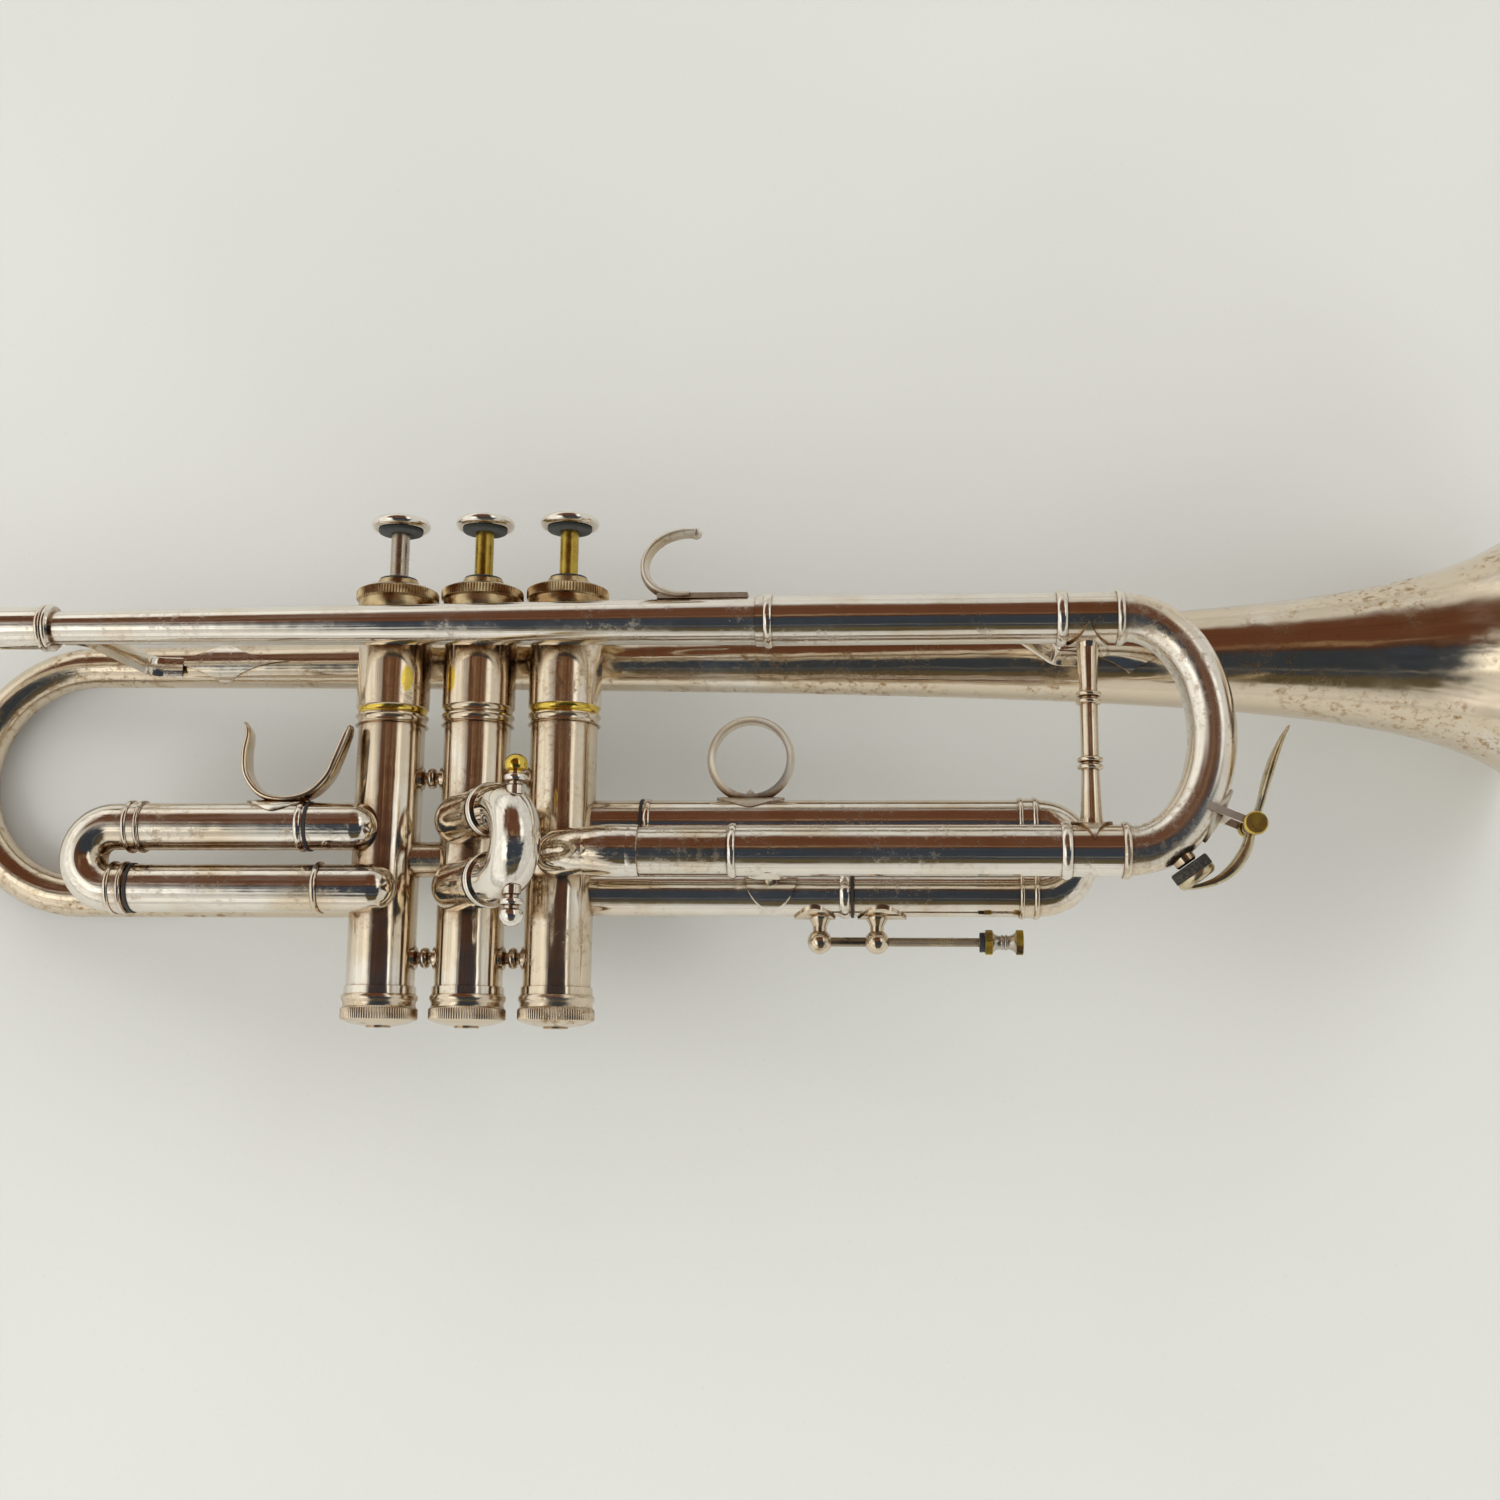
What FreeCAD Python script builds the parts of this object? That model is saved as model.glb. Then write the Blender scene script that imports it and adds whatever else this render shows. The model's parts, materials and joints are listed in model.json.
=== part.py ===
import FreeCAD, Part
import math
import os
import re

import Sketcher
from FreeCAD import Placement, Rotation, Vector

# A piston-valve trumpet, lying on its left side.
#
# The instrument is drawn in its own axes and laid down at the very end:
#   X runs along the tubes, zero at the middle valve, plus towards the bell mouth
#   Y runs along the valves, zero at the leadpipe, plus towards the finger buttons
#   Z runs across, zero in the plane of the three valves, plus towards the leadpipe side
# Every length is in millimetres.

SIZES = {
    # valves
    "valve_pitch": 24.8,
    "valve_bore": 16.9,
    "piston_dia": 16.8,
    "piston_top": -28.0,
    "piston_length": 58.0,
    "casing_dia": 18.9,
    "casing_top": 8.0,
    "casing_length": 110.6,
    "crossing_height": -63.7,
    "crossing_dia": 10.0,
    "chamber_dia": 18.4,
    "chamber_depth": 31.0,
    "chamber_outer_dia": 20.6,
    "cap_thread_dia": 20.0,
    "top_cap_dia": 23.5,
    "bottom_cap_dia": 21.2,
    "spring_barrel_dia": 15.4,
    "spring_barrel_bore": 12.9,
    "spring_barrel_length": 37.0,
    "stem_dia": 5.3,
    "stem_length": 24.6,
    "button_dia": 17.4,
    "valve_stroke": 13.0,
    "spring_dia": 10.4,
    "spring_wire": 0.8,
    # tubing
    "tube_bore": 11.66,
    "slide_leg_dia": 12.4,
    "slide_tube_bore": 12.5,
    "slide_tube_dia": 13.3,
    "ferrule_dia": 14.6,
    "crook_dia": 13.1,
    "main_leg_dia": 12.7,
    "main_tube_bore": 12.8,
    "main_tube_dia": 13.8,
    "main_bow_reach": 22.0,
    # places of the tube axes
    "lead_side": 17.0,
    "main_lower": -63.3,
    "first_side": 9.0,
    "first_upper": -55.5,
    "first_lower": -72.7,
    "second_upper": -53.9,
    "second_lower": -72.5,
    "second_angle": 38.0,
    "third_side": -3.0,
    "third_upper": -53.2,
    "third_lower": -72.4,
    # bell
    "bell_axis": -3.3,
    "bell_side": -18.8,
    "bell_mouth": 311.0,
    "bell_radius": 61.5,
    "bell_throat": 13.1,
    "bell_power": 0.66,
    "bell_wall": 0.6,
    "bow_radius": 34.5,
    "bow_centre": -120.9,
    # leadpipe end
    "receiver_end": -172.0,
    "receiver_dia": 12.1,
    "leadpipe_start": -146.0,
    "leadpipe_end": 83.0,
    "mouthpiece_length": 87.0,
    "shank_depth": 22.0,
    # how it lies: two turns, in degrees, put its bell rim and its bow on the ground, and three
    # moves put the origin on the ground under the middle of its box
    "roll": 1.35,
    "pitch": -6.71,
    "lift": 43.8,
    "shift_along": -40.2,
    "shift_across": 26.2,
}

doc = FreeCAD.newDocument("trumpet")
sheet = doc.addObject("Spreadsheet::Sheet", "sizes")
for row, (alias, value) in enumerate(SIZES.items(), start=1):
    sheet.set(f"A{row}", alias)
    sheet.set(f"B{row}", str(value))
    sheet.setAlias(f"B{row}", alias)
doc.recompute()

RIGHT = Vector(1, 0, 0)
LEFT = Vector(-1, 0, 0)
UP = Vector(0, 1, 0)
DOWN = Vector(0, -1, 0)
NEAR = Vector(0, 0, 1)
FAR = Vector(0, 0, -1)

subparts = {}


# ---------------------------------------------------------------- sizes and places

def bound(size):
    """The expression that ties a property to the sheet's cells."""
    return re.sub(r"[a-z_]+", lambda alias: "sizes." + alias.group(), str(size))


def number(size):
    """What a formula over the sheet's names comes to."""
    filled = re.sub(r"[a-z_]+", lambda alias: f"({SIZES[alias.group()]})", str(size))
    return FreeCAD.Units.Quantity(filled).Value


def at(x, y, z):
    return Vector(number(x), number(y), number(z))


def facing(base, along):
    """The placement that stands a piece on base with its own Z along the given direction."""
    return Placement(base, Rotation(Vector(0, 0, 1), along))


def keep(label, piece):
    """Names a finished sub-part."""
    piece.Label = label
    subparts[label] = piece
    return piece


# ---------------------------------------------------------------- primitives and booleans

def primitive(kind, name, place, **sizes):
    piece = doc.addObject(kind, name)
    for property_name, size in sizes.items():
        piece.setExpression(property_name, bound(size))
    piece.Placement = place
    return piece


def cylinder(name, dia, length, base, along):
    place = facing(base, along)
    return primitive("Part::Cylinder", name, place, Radius=f"({dia}) / 2", Height=length)


def cone(name, start_dia, end_dia, length, base, along):
    place = facing(base, along)
    radii = {"Radius1": f"({start_dia}) / 2", "Radius2": f"({end_dia}) / 2"}
    return primitive("Part::Cone", name, place, Height=length, **radii)


def ball(name, dia, centre):
    return primitive("Part::Sphere", name, Placement(centre, Rotation()), Radius=f"({dia}) / 2")


def bead(name, ring_dia, wire_dia, centre, along):
    place = facing(centre, along)
    radii = {"Radius1": f"({ring_dia}) / 2", "Radius2": f"({wire_dia}) / 2"}
    return primitive("Part::Torus", name, place, **radii)


def block(name, length, width, height, place):
    """A box centred on its placement."""
    piece = primitive("Part::Box", name, place, Length=length, Width=width, Height=height)
    corner = Vector(number(length), number(width), number(height)) * -0.5
    piece.Placement = place * Placement(corner, Rotation())
    return piece


def fuse(name, pieces):
    joined = doc.addObject("Part::MultiFuse", name)
    joined.Shapes = pieces
    joined.Refine = True
    return joined


def cut(name, base, *tools):
    for index, tool in enumerate(tools):
        result = doc.addObject("Part::Cut", f"{name}_{index}")
        result.Base = base
        result.Tool = tool
        base = result
    return base


def common(name, first, second):
    shared = doc.addObject("Part::Common", name)
    shared.Base = first
    shared.Tool = second
    return shared


def group(name, pieces):
    """Identical separate pieces that share one node."""
    together = doc.addObject("Part::Compound", name)
    together.Links = pieces
    return together


def tube(name, outer, inner, length, base, along):
    outside = cylinder(name + "_outside", outer, length, base, along)
    bore = cylinder(name + "_bore", inner, f"{length} + 2", base - along, along)
    return cut(name, outside, bore)


# ---------------------------------------------------------------- sketched pieces

def sketch_outline(body, role, name, corners):
    """A closed outline on one of the body's planes.

    A corner is (across, up) or (across, up, swell): the side that leaves a corner with a swell is an
    arc that stands out to its right by that much.
    """
    sketch = body.newObject("Sketcher::SketchObject", name)
    plane = [feature for feature in body.Origin.OriginFeatures if feature.Role == role][0]
    sketch.AttachmentSupport = [(plane, "")]
    sketch.MapMode = "FlatFace"
    spots = [Vector(number(corner[0]), number(corner[1]), 0) for corner in corners]
    count = len(spots)
    for index, corner in enumerate(corners):
        start = spots[index]
        end = spots[(index + 1) % count]
        if len(corner) == 3:
            side = end - start
            outward = Vector(side.y, -side.x, 0).normalize()
            middle = (start + end) * 0.5 + outward * number(corner[2])
            sketch.addGeometry(Part.Arc(start, middle, end))
        else:
            sketch.addGeometry(Part.LineSegment(start, end))

    def end_at(index, spot):
        return 1 if sketch.getPoint(index, 1).distanceToPoint(spot) < 1e-6 else 2

    for index in range(count):
        spot = spots[(index + 1) % count]
        following = (index + 1) % count
        joint = ("Coincident", index, end_at(index, spot), following, end_at(following, spot))
        sketch.addConstraint(Sketcher.Constraint(*joint))
    for index, corner in enumerate(corners):
        spot = spots[index]
        end = end_at(index, spot)
        ties = (("DistanceX", corner[0], spot.x), ("DistanceY", corner[1], spot.y))
        for direction, size, distance in ties:
            tie = sketch.addConstraint(Sketcher.Constraint(direction, -1, 1, index, end, distance))
            sketch.setExpression(f"Constraints[{tie}]", bound(size))
    return sketch


def turned(name, corners, base, along):
    """A lathe-turned piece: corners are (radius, height) along its axis, listed anticlockwise."""
    body = doc.addObject("PartDesign::Body", name)
    sketch = sketch_outline(body, "XZ_Plane", name + "_outline", corners)
    turn = body.newObject("PartDesign::Revolution", name + "_turn")
    turn.Profile = sketch
    turn.ReferenceAxis = (sketch, ["V_Axis"])
    turn.Angle = 360
    body.Placement = facing(base, along)
    return body


def padded(name, corners, thickness, place):
    """A flat plate of the given outline."""
    body = doc.addObject("PartDesign::Body", name)
    sketch = sketch_outline(body, "XY_Plane", name + "_outline", corners)
    pad = body.newObject("PartDesign::Pad", name + "_pad")
    pad.Profile = sketch
    pad.setExpression("Length", bound(thickness))
    body.Placement = place
    return body


# ---------------------------------------------------------------- bent pieces

def route(name, spots, bend):
    """A path of straight runs with a tangent arc of radius bend at every inner spot."""
    edges = []
    here = spots[0]
    for before, corner, after in zip(spots, spots[1:], spots[2:]):
        into = (corner - before).normalize()
        out = (after - corner).normalize()
        turn = into.getAngle(out)
        back = bend * math.tan(turn / 2)
        start = corner - into * back
        end = corner + out * back
        inward = (out - into).normalize()
        middle = corner + inward * (bend / math.cos(turn / 2) - bend)
        if start.distanceToPoint(here) > 0.01:
            edges.append(Part.LineSegment(here, start).toShape())
        edges.append(Part.Arc(start, middle, end).toShape())
        here = end
    if spots[-1].distanceToPoint(here) > 0.01:
        edges.append(Part.LineSegment(here, spots[-1]).toShape())
    path = doc.addObject("Part::Feature", name)
    path.Shape = Part.Wire(edges)
    return path


def curve(name, spots):
    """A smooth path through the spots."""
    line = Part.BSplineCurve()
    line.interpolate(spots)
    path = doc.addObject("Part::Feature", name)
    path.Shape = Part.Wire([line.toShape()])
    return path


def start_of(path):
    """Where a path starts and which way it sets off."""
    edge = path.Shape.OrderedEdges[0]
    return edge.valueAt(edge.FirstParameter), edge.tangentAt(edge.FirstParameter)


def swept(name, path, profile):
    sweep = doc.addObject("Part::Sweep", name)
    sweep.Sections = [profile]
    sweep.Spine = (path, [f"Edge{index + 1}" for index in range(len(path.Shape.Edges))])
    sweep.Solid = True
    sweep.Frenet = False
    return sweep


def rod(name, path, dia):
    """A round bar along a path."""
    base, along = start_of(path)
    profile = primitive("Part::Circle", name + "_section", facing(base, along), Radius=f"({dia}) / 2")
    return swept(name, path, profile)


def strap(name, path, width, thickness, across):
    """A flat-oval bar along a path, its width in the direction across."""
    base, along = start_of(path)
    place = Placement(base, Rotation(across, along.cross(across), along, "ZXY"))
    radii = {"MajorRadius": f"({width}) / 2", "MinorRadius": f"({thickness}) / 2"}
    profile = primitive("Part::Ellipse", name + "_section", place, **radii)
    return swept(name, path, profile)


def half_ring(name, radius, dia, centre, start, towards):
    """Half a torus: it sets off from the side start of its centre and bulges towards."""
    place = Placement(centre, Rotation(start, towards, start.cross(towards), "ZXY"))
    ring = primitive("Part::Torus", name, place, Radius1=radius, Radius2=f"({dia}) / 2")
    ring.Angle3 = 180
    return ring


def foot(name, length, width, thickness, tube_dia, spot, along, out, swell=-0.12):
    """A plate wrapped round a tube. spot is on the tube's axis and out leads to the plate.

    swell is how far the plate's sides bow outwards, as a share of its width: pointed feet are hollow.
    """
    reach = f"({tube_dia}) / 2 + {thickness} + 1"
    bow = swell * number(width)
    corners = [
        (f"-({length}) / 2", 0, bow),
        (0, f"-({width}) / 2", bow),
        (f"({length}) / 2", 0, bow),
        (0, f"({width}) / 2", bow),
    ]
    place = Placement(spot, Rotation(along, out.cross(along), out, "ZXY"))
    leaf = padded(name + "_leaf", corners, reach, place)
    skin_base = spot - along * number(length)
    skin_dia = f"({tube_dia}) + 2 * {thickness}"
    skin = tube(name + "_skin", skin_dia, tube_dia, f"2 * ({length})", skin_base, along)
    return common(name, leaf, skin)


def valve_x(valve):
    """Where valve 1, 2 or 3 stands."""
    return (valve - 2) * number("valve_pitch")


def casing_plug(name, valve):
    """The space a casing fills, for trimming what meets it."""
    foot_of_casing = at(valve_x(valve), "casing_top - casing_length", 0)
    return cylinder(name, "casing_dia", "casing_length - chamber_depth - 3", foot_of_casing, UP)


# ---------------------------------------------------------------- valves

PASSAGE_DIA = 9.0

# the knuckles where the first valve's slide tubes turn in to the casing
FIRST_UPPER_KNUCKLE = -31.5
FIRST_LOWER_KNUCKLE = -25.8


def passage(name, valve, height, start_x, start_side):
    """The opening bored through a casing wall towards a tube's end."""
    tube_spot = at(start_x, height, start_side)
    axis_spot = at(valve_x(valve), height, 0)
    along = (tube_spot - axis_spot).normalize()
    length = tube_spot.distanceToPoint(axis_spot)
    return cylinder(name, PASSAGE_DIA, length, axis_spot, along)


def casing_passages(valve):
    """The bores through one casing's wall."""
    mouths = {
        1: [
            ("first_upper", FIRST_UPPER_KNUCKLE, "first_side"),
            ("first_lower", FIRST_LOWER_KNUCKLE, "first_side"),
            ("bell_axis - 2 * bow_radius", -31.0, -9),
        ],
        2: [("second_upper", -2.0, 9), ("second_lower", -2.0, 9)],
        3: [("third_upper", 37, -3), ("third_lower", 37, -3), ("main_lower", 26, 9)],
    }[valve]
    bores = []
    for index, (height, start_x, start_side) in enumerate(mouths):
        bores.append(passage(f"passage_{valve}_{index}", valve, height, start_x, start_side))
    return bores


def valve_casing(valve):
    """One casing: narrow lower part for the piston, wider upper part for the spring, two ring beads."""
    bead_top = 28.5
    bead_height = 2.4
    gap = 0.4
    lower = bead_top + 2 * bead_height + gap
    bore = "valve_bore / 2"
    wide = "chamber_outer_dia / 2"
    narrow = "casing_dia / 2"
    band_start = "casing_length - 3.4"
    band_end = "casing_length - 1.2"
    corners = [
        ("chamber_dia / 2", 0),
        ("chamber_dia / 2", "chamber_depth"),
        (bore, "chamber_depth"),
        (bore, "casing_length"),
        (narrow, "casing_length"),
        (narrow, band_end),
        (f"{narrow} + 0.5", band_end),
        (f"{narrow} + 0.5", band_start),
        (narrow, band_start),
        (narrow, lower),
        (wide, lower, 0.6),
        (wide, bead_top + bead_height + gap),
        (wide, bead_top + bead_height, 0.6),
        (wide, bead_top),
        (wide, 6.6),
        ("cap_thread_dia / 2", 6.6),
        ("cap_thread_dia / 2", 0),
    ]
    barrel = turned(f"casing_{valve}", corners, at(valve_x(valve), "casing_top", 0), DOWN)
    tools = casing_passages(valve)
    crossing = at(valve_x(valve), "crossing_height", 0)
    if valve > 1:
        tools.append(cylinder(f"link_in_{valve}", PASSAGE_DIA, "valve_pitch / 2", crossing, LEFT))
    if valve < 3:
        tools.append(cylinder(f"link_out_{valve}", PASSAGE_DIA, "valve_pitch / 2", crossing, RIGHT))
    keep(f"valve_casing_{valve}", cut(f"casing_bored_{valve}", barrel, *tools))


def top_cap(valve):
    """The screwed cap the stem slides through, with its knurled rim and small collar."""
    stem_hole = "stem_dia / 2 + 0.08"
    thread = "cap_thread_dia / 2 + 0.05"
    ceiling = 11.0
    corners = [
        (thread, 0),
        ("top_cap_dia / 2 - 1.1", 0),
        ("top_cap_dia / 2 - 1.1", 5.6),
        ("top_cap_dia / 2 - 0.5", 9.2),
        ("top_cap_dia / 2", 9.6),
        ("top_cap_dia / 2", 12.0),
        ("top_cap_dia / 2 - 0.6", 12.4),
        (6.6, 13.8),
        (5.9, 13.9),
        (5.9, 15.6),
        (stem_hole, 15.6),
        (stem_hole, ceiling),
        ("chamber_dia / 2", ceiling),
        ("chamber_dia / 2", 6.7),
        (thread, 6.7),
    ]
    return turned(f"top_cap_{valve}", corners, at(valve_x(valve), 1.6, 0), UP)


def bottom_cap(valve):
    """The screwed cap under the casing, with a small vent hole."""
    thread = "casing_dia / 2 + 0.05"
    vent = 1.2
    corners = [
        (thread, 0),
        (thread, 1.4),
        (7.4, 1.4),
        (7.4, 6.2),
        (vent, 7.0),
        (vent, 9.0),
        (3.4, 9.0),
        (3.4, 8.6),
        ("bottom_cap_dia / 2 - 0.8", 7.4),
        ("bottom_cap_dia / 2", 6.8),
        ("bottom_cap_dia / 2", 4.2),
        ("casing_dia / 2 + 0.9", 3.6),
        ("casing_dia / 2 + 0.8", 0),
    ]
    outline = corners[::-1]
    rim = at(valve_x(valve), "casing_top - casing_length + 1.2", 0)
    return turned(f"bottom_cap_{valve}", outline, rim, DOWN)


def valve_guide(valve):
    """The cross-piece that sits on the casing's ledge and keys the piston."""
    centre = at(valve_x(valve), "casing_top - chamber_depth", 0)
    hub = cylinder(f"guide_hub_{valve}", "spring_barrel_bore - 0.4", 2.4, centre, UP)
    middle = Placement(centre + UP * 1.2, Rotation())
    wings = block(f"guide_wings_{valve}", "chamber_dia - 0.7", 2.4, 4, middle)
    return fuse(f"guide_{valve}", [hub, wings])


def piston(valve):
    """The hollow piston with its crossing passages, and the slotted spring barrel on top of it."""
    top = at(valve_x(valve), "piston_top", 0)
    wall = 1.0
    reach = 12
    skirt = cylinder(f"piston_skirt_{valve}", "piston_dia", "piston_length", top, DOWN)
    hollow_dia = f"piston_dia - {2 * wall}"
    hollow_length = f"piston_length - {2 * wall}"
    hollow = cylinder(f"piston_hollow_{valve}", hollow_dia, hollow_length, top + DOWN * wall, DOWN)
    shell = cut(f"piston_shell_{valve}", skirt, hollow)

    heights = ["first_upper + valve_stroke", "first_lower + valve_stroke", -76.5]
    turns = [20, 80, 140]
    liners = []
    bores = []
    for index, (height, turn) in enumerate(zip(heights, turns)):
        across = Rotation(UP, turn + 40 * valve).multVec(RIGHT)
        base = at(valve_x(valve), height, 0) - across * reach
        liners.append(cylinder(f"piston_liner_{valve}_{index}", 10.6, 2 * reach, base, across))
        bores.append(cylinder(f"piston_passage_{valve}_{index}", 9.8, 2 * reach, base, across))
    envelope = cylinder(f"piston_envelope_{valve}", "piston_dia", "piston_length", top, DOWN)
    inner = common(f"piston_liners_{valve}", fuse(f"piston_liner_set_{valve}", liners), envelope)

    lid = 2
    outer = "spring_barrel_dia"
    length = "spring_barrel_length"
    barrel = tube(f"spring_barrel_{valve}", outer, "spring_barrel_bore", length, top, UP)
    cover = tube(f"spring_cover_{valve}", outer, 4, lid, top + UP * number(f"{length} - {lid}"), UP)
    slot_middle = Placement(top + UP * 13.8, Rotation())
    slots = block(f"guide_slots_{valve}", 20, 19, 4.4, slot_middle)
    slotted = cut(f"spring_barrel_slotted_{valve}", barrel, slots)
    solid = fuse(f"piston_solid_{valve}", [shell, inner, slotted, cover])
    keep(f"piston_{valve}", cut(f"piston_bored_{valve}", solid, *bores))


def valve_spring(valve):
    """The coil between the guide and the top of the spring barrel."""
    turns = 8
    bottom = number("casing_top - chamber_depth") + 2.4 + 0.5
    ceiling = number("piston_top + spring_barrel_length") - 2 - 0.5
    coil = doc.addObject("Part::Helix", f"coil_{valve}")
    coil.Height = ceiling - bottom
    coil.Pitch = coil.Height / turns
    coil.setExpression("Radius", bound("spring_dia / 2"))
    coil.SegmentLength = 1
    coil.Placement = facing(at(valve_x(valve), bottom, 0), UP)
    doc.recompute()
    edge = coil.Shape.Edges[0]
    start = edge.valueAt(edge.FirstParameter)
    along = edge.tangentAt(edge.FirstParameter)
    wire = primitive("Part::Circle", f"wire_{valve}", facing(start, along), Radius="spring_wire / 2")
    spring = swept(f"spring_{valve}", coil, wire)
    spring.Frenet = True
    keep(f"valve_spring_{valve}", spring)


def valve_stem(valve):
    top = number("piston_top + spring_barrel_length")
    corners = [
        (0, 0),
        (2, 0),
        (2, 2),
        ("stem_dia / 2", 2),
        ("stem_dia / 2", "stem_length"),
        (1.6, "stem_length"),
        (1.6, "stem_length + 2"),
        (0, "stem_length + 2"),
    ]
    base = at(valve_x(valve), top - 2, 0)
    keep(f"valve_stem_{valve}", turned(f"stem_{valve}", corners, base, UP))


def finger_button(valve):
    """The round button with a rolled rim and a shallow seat for its inlay."""
    base = at(valve_x(valve), "piston_top + spring_barrel_length + stem_length - 2", 0)
    rim = "button_dia / 2"
    corners = [
        (1.65, 0),
        (3.3, 0),
        (4.2, 0.9),
        (f"{rim} - 1.5", 0.9, 1.3),
        (f"{rim} - 1.5", 3.9),
        ("6.9", 3.6),
        ("6.6", 3.0),
        (0, 3.0),
        (0, 2.05),
        (1.65, 2.05),
    ]
    keep(f"finger_button_{valve}", turned(f"button_{valve}", corners, base, UP))


def valve_links():
    """The crossing tubes and the turned braces between neighbouring casings."""
    tubes = []
    spools = []
    for left in (1, 2):
        x = valve_x(left)
        trims = [casing_plug(f"link_trim_{left}_a", left), casing_plug(f"link_trim_{left}_b", left + 1)]
        start = at(x, "crossing_height", 0)
        link = tube(f"link_{left}", "crossing_dia", PASSAGE_DIA, "valve_pitch", start, RIGHT)
        tubes.append(cut(f"link_trimmed_{left}", link, *trims))
        for index, height in enumerate((-40.6, -91.2)):
            corners = [
                (0, 8),
                (3.4, 8),
                (3.2, 9.8),
                (1.7, 10.5),
                (1.7, 11.2),
                (2.6, 11.5, 0.35),
                (2.6, 13.3),
                (1.7, 13.6),
                (1.7, 14.3),
                (3.2, 15.0),
                (3.4, 16.8),
                (0, 16.8),
            ]
            spool = turned(f"spool_{left}_{index}", corners, at(x, height, 0), RIGHT)
            spools.append(cut(f"spool_trimmed_{left}_{index}", spool, *trims))
    keep("crossover_tubes", group("crossover_group", tubes))
    keep("valve_braces", group("brace_group", spools))


def valves():
    for valve in (1, 2, 3):
        valve_casing(valve)
        piston(valve)
        valve_spring(valve)
        valve_stem(valve)
        finger_button(valve)
    keep("top_caps", group("top_cap_group", [top_cap(valve) for valve in (1, 2, 3)]))
    keep("bottom_caps", group("bottom_cap_group", [bottom_cap(valve) for valve in (1, 2, 3)]))
    keep("valve_guides", group("guide_group", [valve_guide(valve) for valve in (1, 2, 3)]))
    valve_links()


# ---------------------------------------------------------------- bell

def bell_radius(x):
    """The outer radius of the flare at x: wide at the mouth, easing into the bow's tube."""
    back = number("bell_mouth") - x
    return number("bell_radius") * (1 + back / number("bell_throat")) ** -number("bell_power")


def flare(name, shrink):
    """The flare as a solid of revolution, its surface moved inwards by shrink."""
    start = number("bow_centre")
    mouth = number("bell_mouth")
    steps = 28
    spots = []
    for step in range(steps + 1):
        x = mouth - (mouth - start) * (1 - step / steps) ** 2.2
        spots.append(Vector(x, bell_radius(x) - shrink, 0))
    outline = Part.BSplineCurve()
    outline.interpolate(spots)
    first, last = spots[0], spots[-1]
    sides = [
        outline.toShape(),
        Part.LineSegment(last, Vector(last.x, 0, 0)).toShape(),
        Part.LineSegment(Vector(last.x, 0, 0), Vector(first.x, 0, 0)).toShape(),
        Part.LineSegment(Vector(first.x, 0, 0), first).toShape(),
    ]
    face = doc.addObject("Part::Feature", name + "_profile")
    face.Shape = Part.Face(Part.Wire(sides))
    turn = doc.addObject("Part::Revolution", name)
    turn.Source = face
    turn.Axis = RIGHT
    turn.Angle = 360
    turn.Placement = Placement(at(0, "bell_axis", "bell_side"), Rotation())
    return turn


def bell():
    """Flare, bow and tail in one tube: the tail turns in to the back of the first valve."""
    wall = number("bell_wall")
    dia = 2 * bell_radius(number("bow_centre"))
    tail_height = number("bell_axis - 2 * bow_radius")
    side = "bell_side"
    bow_centre = at("bow_centre", "bell_axis - bow_radius", side)
    bow = half_ring("bell_bow", "bow_radius", dia, bow_centre, UP, LEFT)
    bow_bore = half_ring("bell_bow_bore", "bow_radius", dia - 2 * wall, bow_centre, UP, LEFT)
    tail_spots = [
        at("bow_centre", tail_height, side),
        at(-33.0, tail_height, side),
        at(-29.0, tail_height, -3),
    ]
    tail_path = route("bell_tail_path", tail_spots, 11)
    tail = rod("bell_tail", tail_path, dia)
    tail_bore = rod("bell_tail_bore", tail_path, dia - 2 * wall)
    rim = bead("bell_rim", "2 * bell_radius - 1.6", 2.2, at("bell_mouth", "bell_axis", side), RIGHT)
    outside = fuse("bell_outside", [flare("bell_flare", 0), bow, tail])
    bores = [flare("bell_flare_bore", wall), bow_bore, tail_bore, casing_plug("bell_trim", 1)]
    hollow = cut("bell_hollow", outside, *bores)
    keep("bell", fuse("bell_rimmed", [hollow, rim]))


# ---------------------------------------------------------------- leadpipe and mouthpiece

LEADPIPE_START_DIA = 8.7
LEADPIPE_END_DIA = 13.2


def leadpipe_cone(name, shrink):
    start = at("leadpipe_start", 0, "lead_side")
    dias = (LEADPIPE_START_DIA - shrink, LEADPIPE_END_DIA - shrink)
    return cone(name, *dias, "leadpipe_end - leadpipe_start", start, RIGHT)


def shank_cone(name, grow):
    """The tapered plug that is the mouthpiece's shank, or with grow the socket it sits in."""
    mouth = at("receiver_end", 0, "lead_side")
    return cone(name, 10.1 + grow, 9.6 + grow, "shank_depth", mouth, RIGHT)


def leadpipe():
    outside = leadpipe_cone("leadpipe_outside", 0)
    keep("leadpipe", cut("leadpipe_bored", outside, leadpipe_cone("leadpipe_bore", 1.0)))
    radius = "receiver_dia / 2"
    length = 54.0
    corners = [
        (0, 0),
        (f"{radius} + 0.9", 0, 0.5),
        (f"{radius} + 0.9", 3.2),
        (radius, 3.6),
        (radius, length - 3.8),
        (f"{radius} + 0.3", length - 3.6, 0.35),
        (f"{radius} + 0.3", length - 2.2),
        (radius, length - 2.1),
        (f"{radius} + 0.3", length - 1.9, 0.35),
        (f"{radius} + 0.3", length - 0.5),
        (radius, length),
        (0, length),
    ]
    body = turned("receiver_body", corners, at("receiver_end", 0, "lead_side"), RIGHT)
    step = cylinder("receiver_step", 9.4, 5, at("leadpipe_start - 4.5", 0, "lead_side"), RIGHT)
    socket = shank_cone("receiver_socket", 0.1)
    keep("mouthpiece_receiver", cut("receiver", body, socket, step, leadpipe_cone("receiver_seat", 0)))


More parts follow.
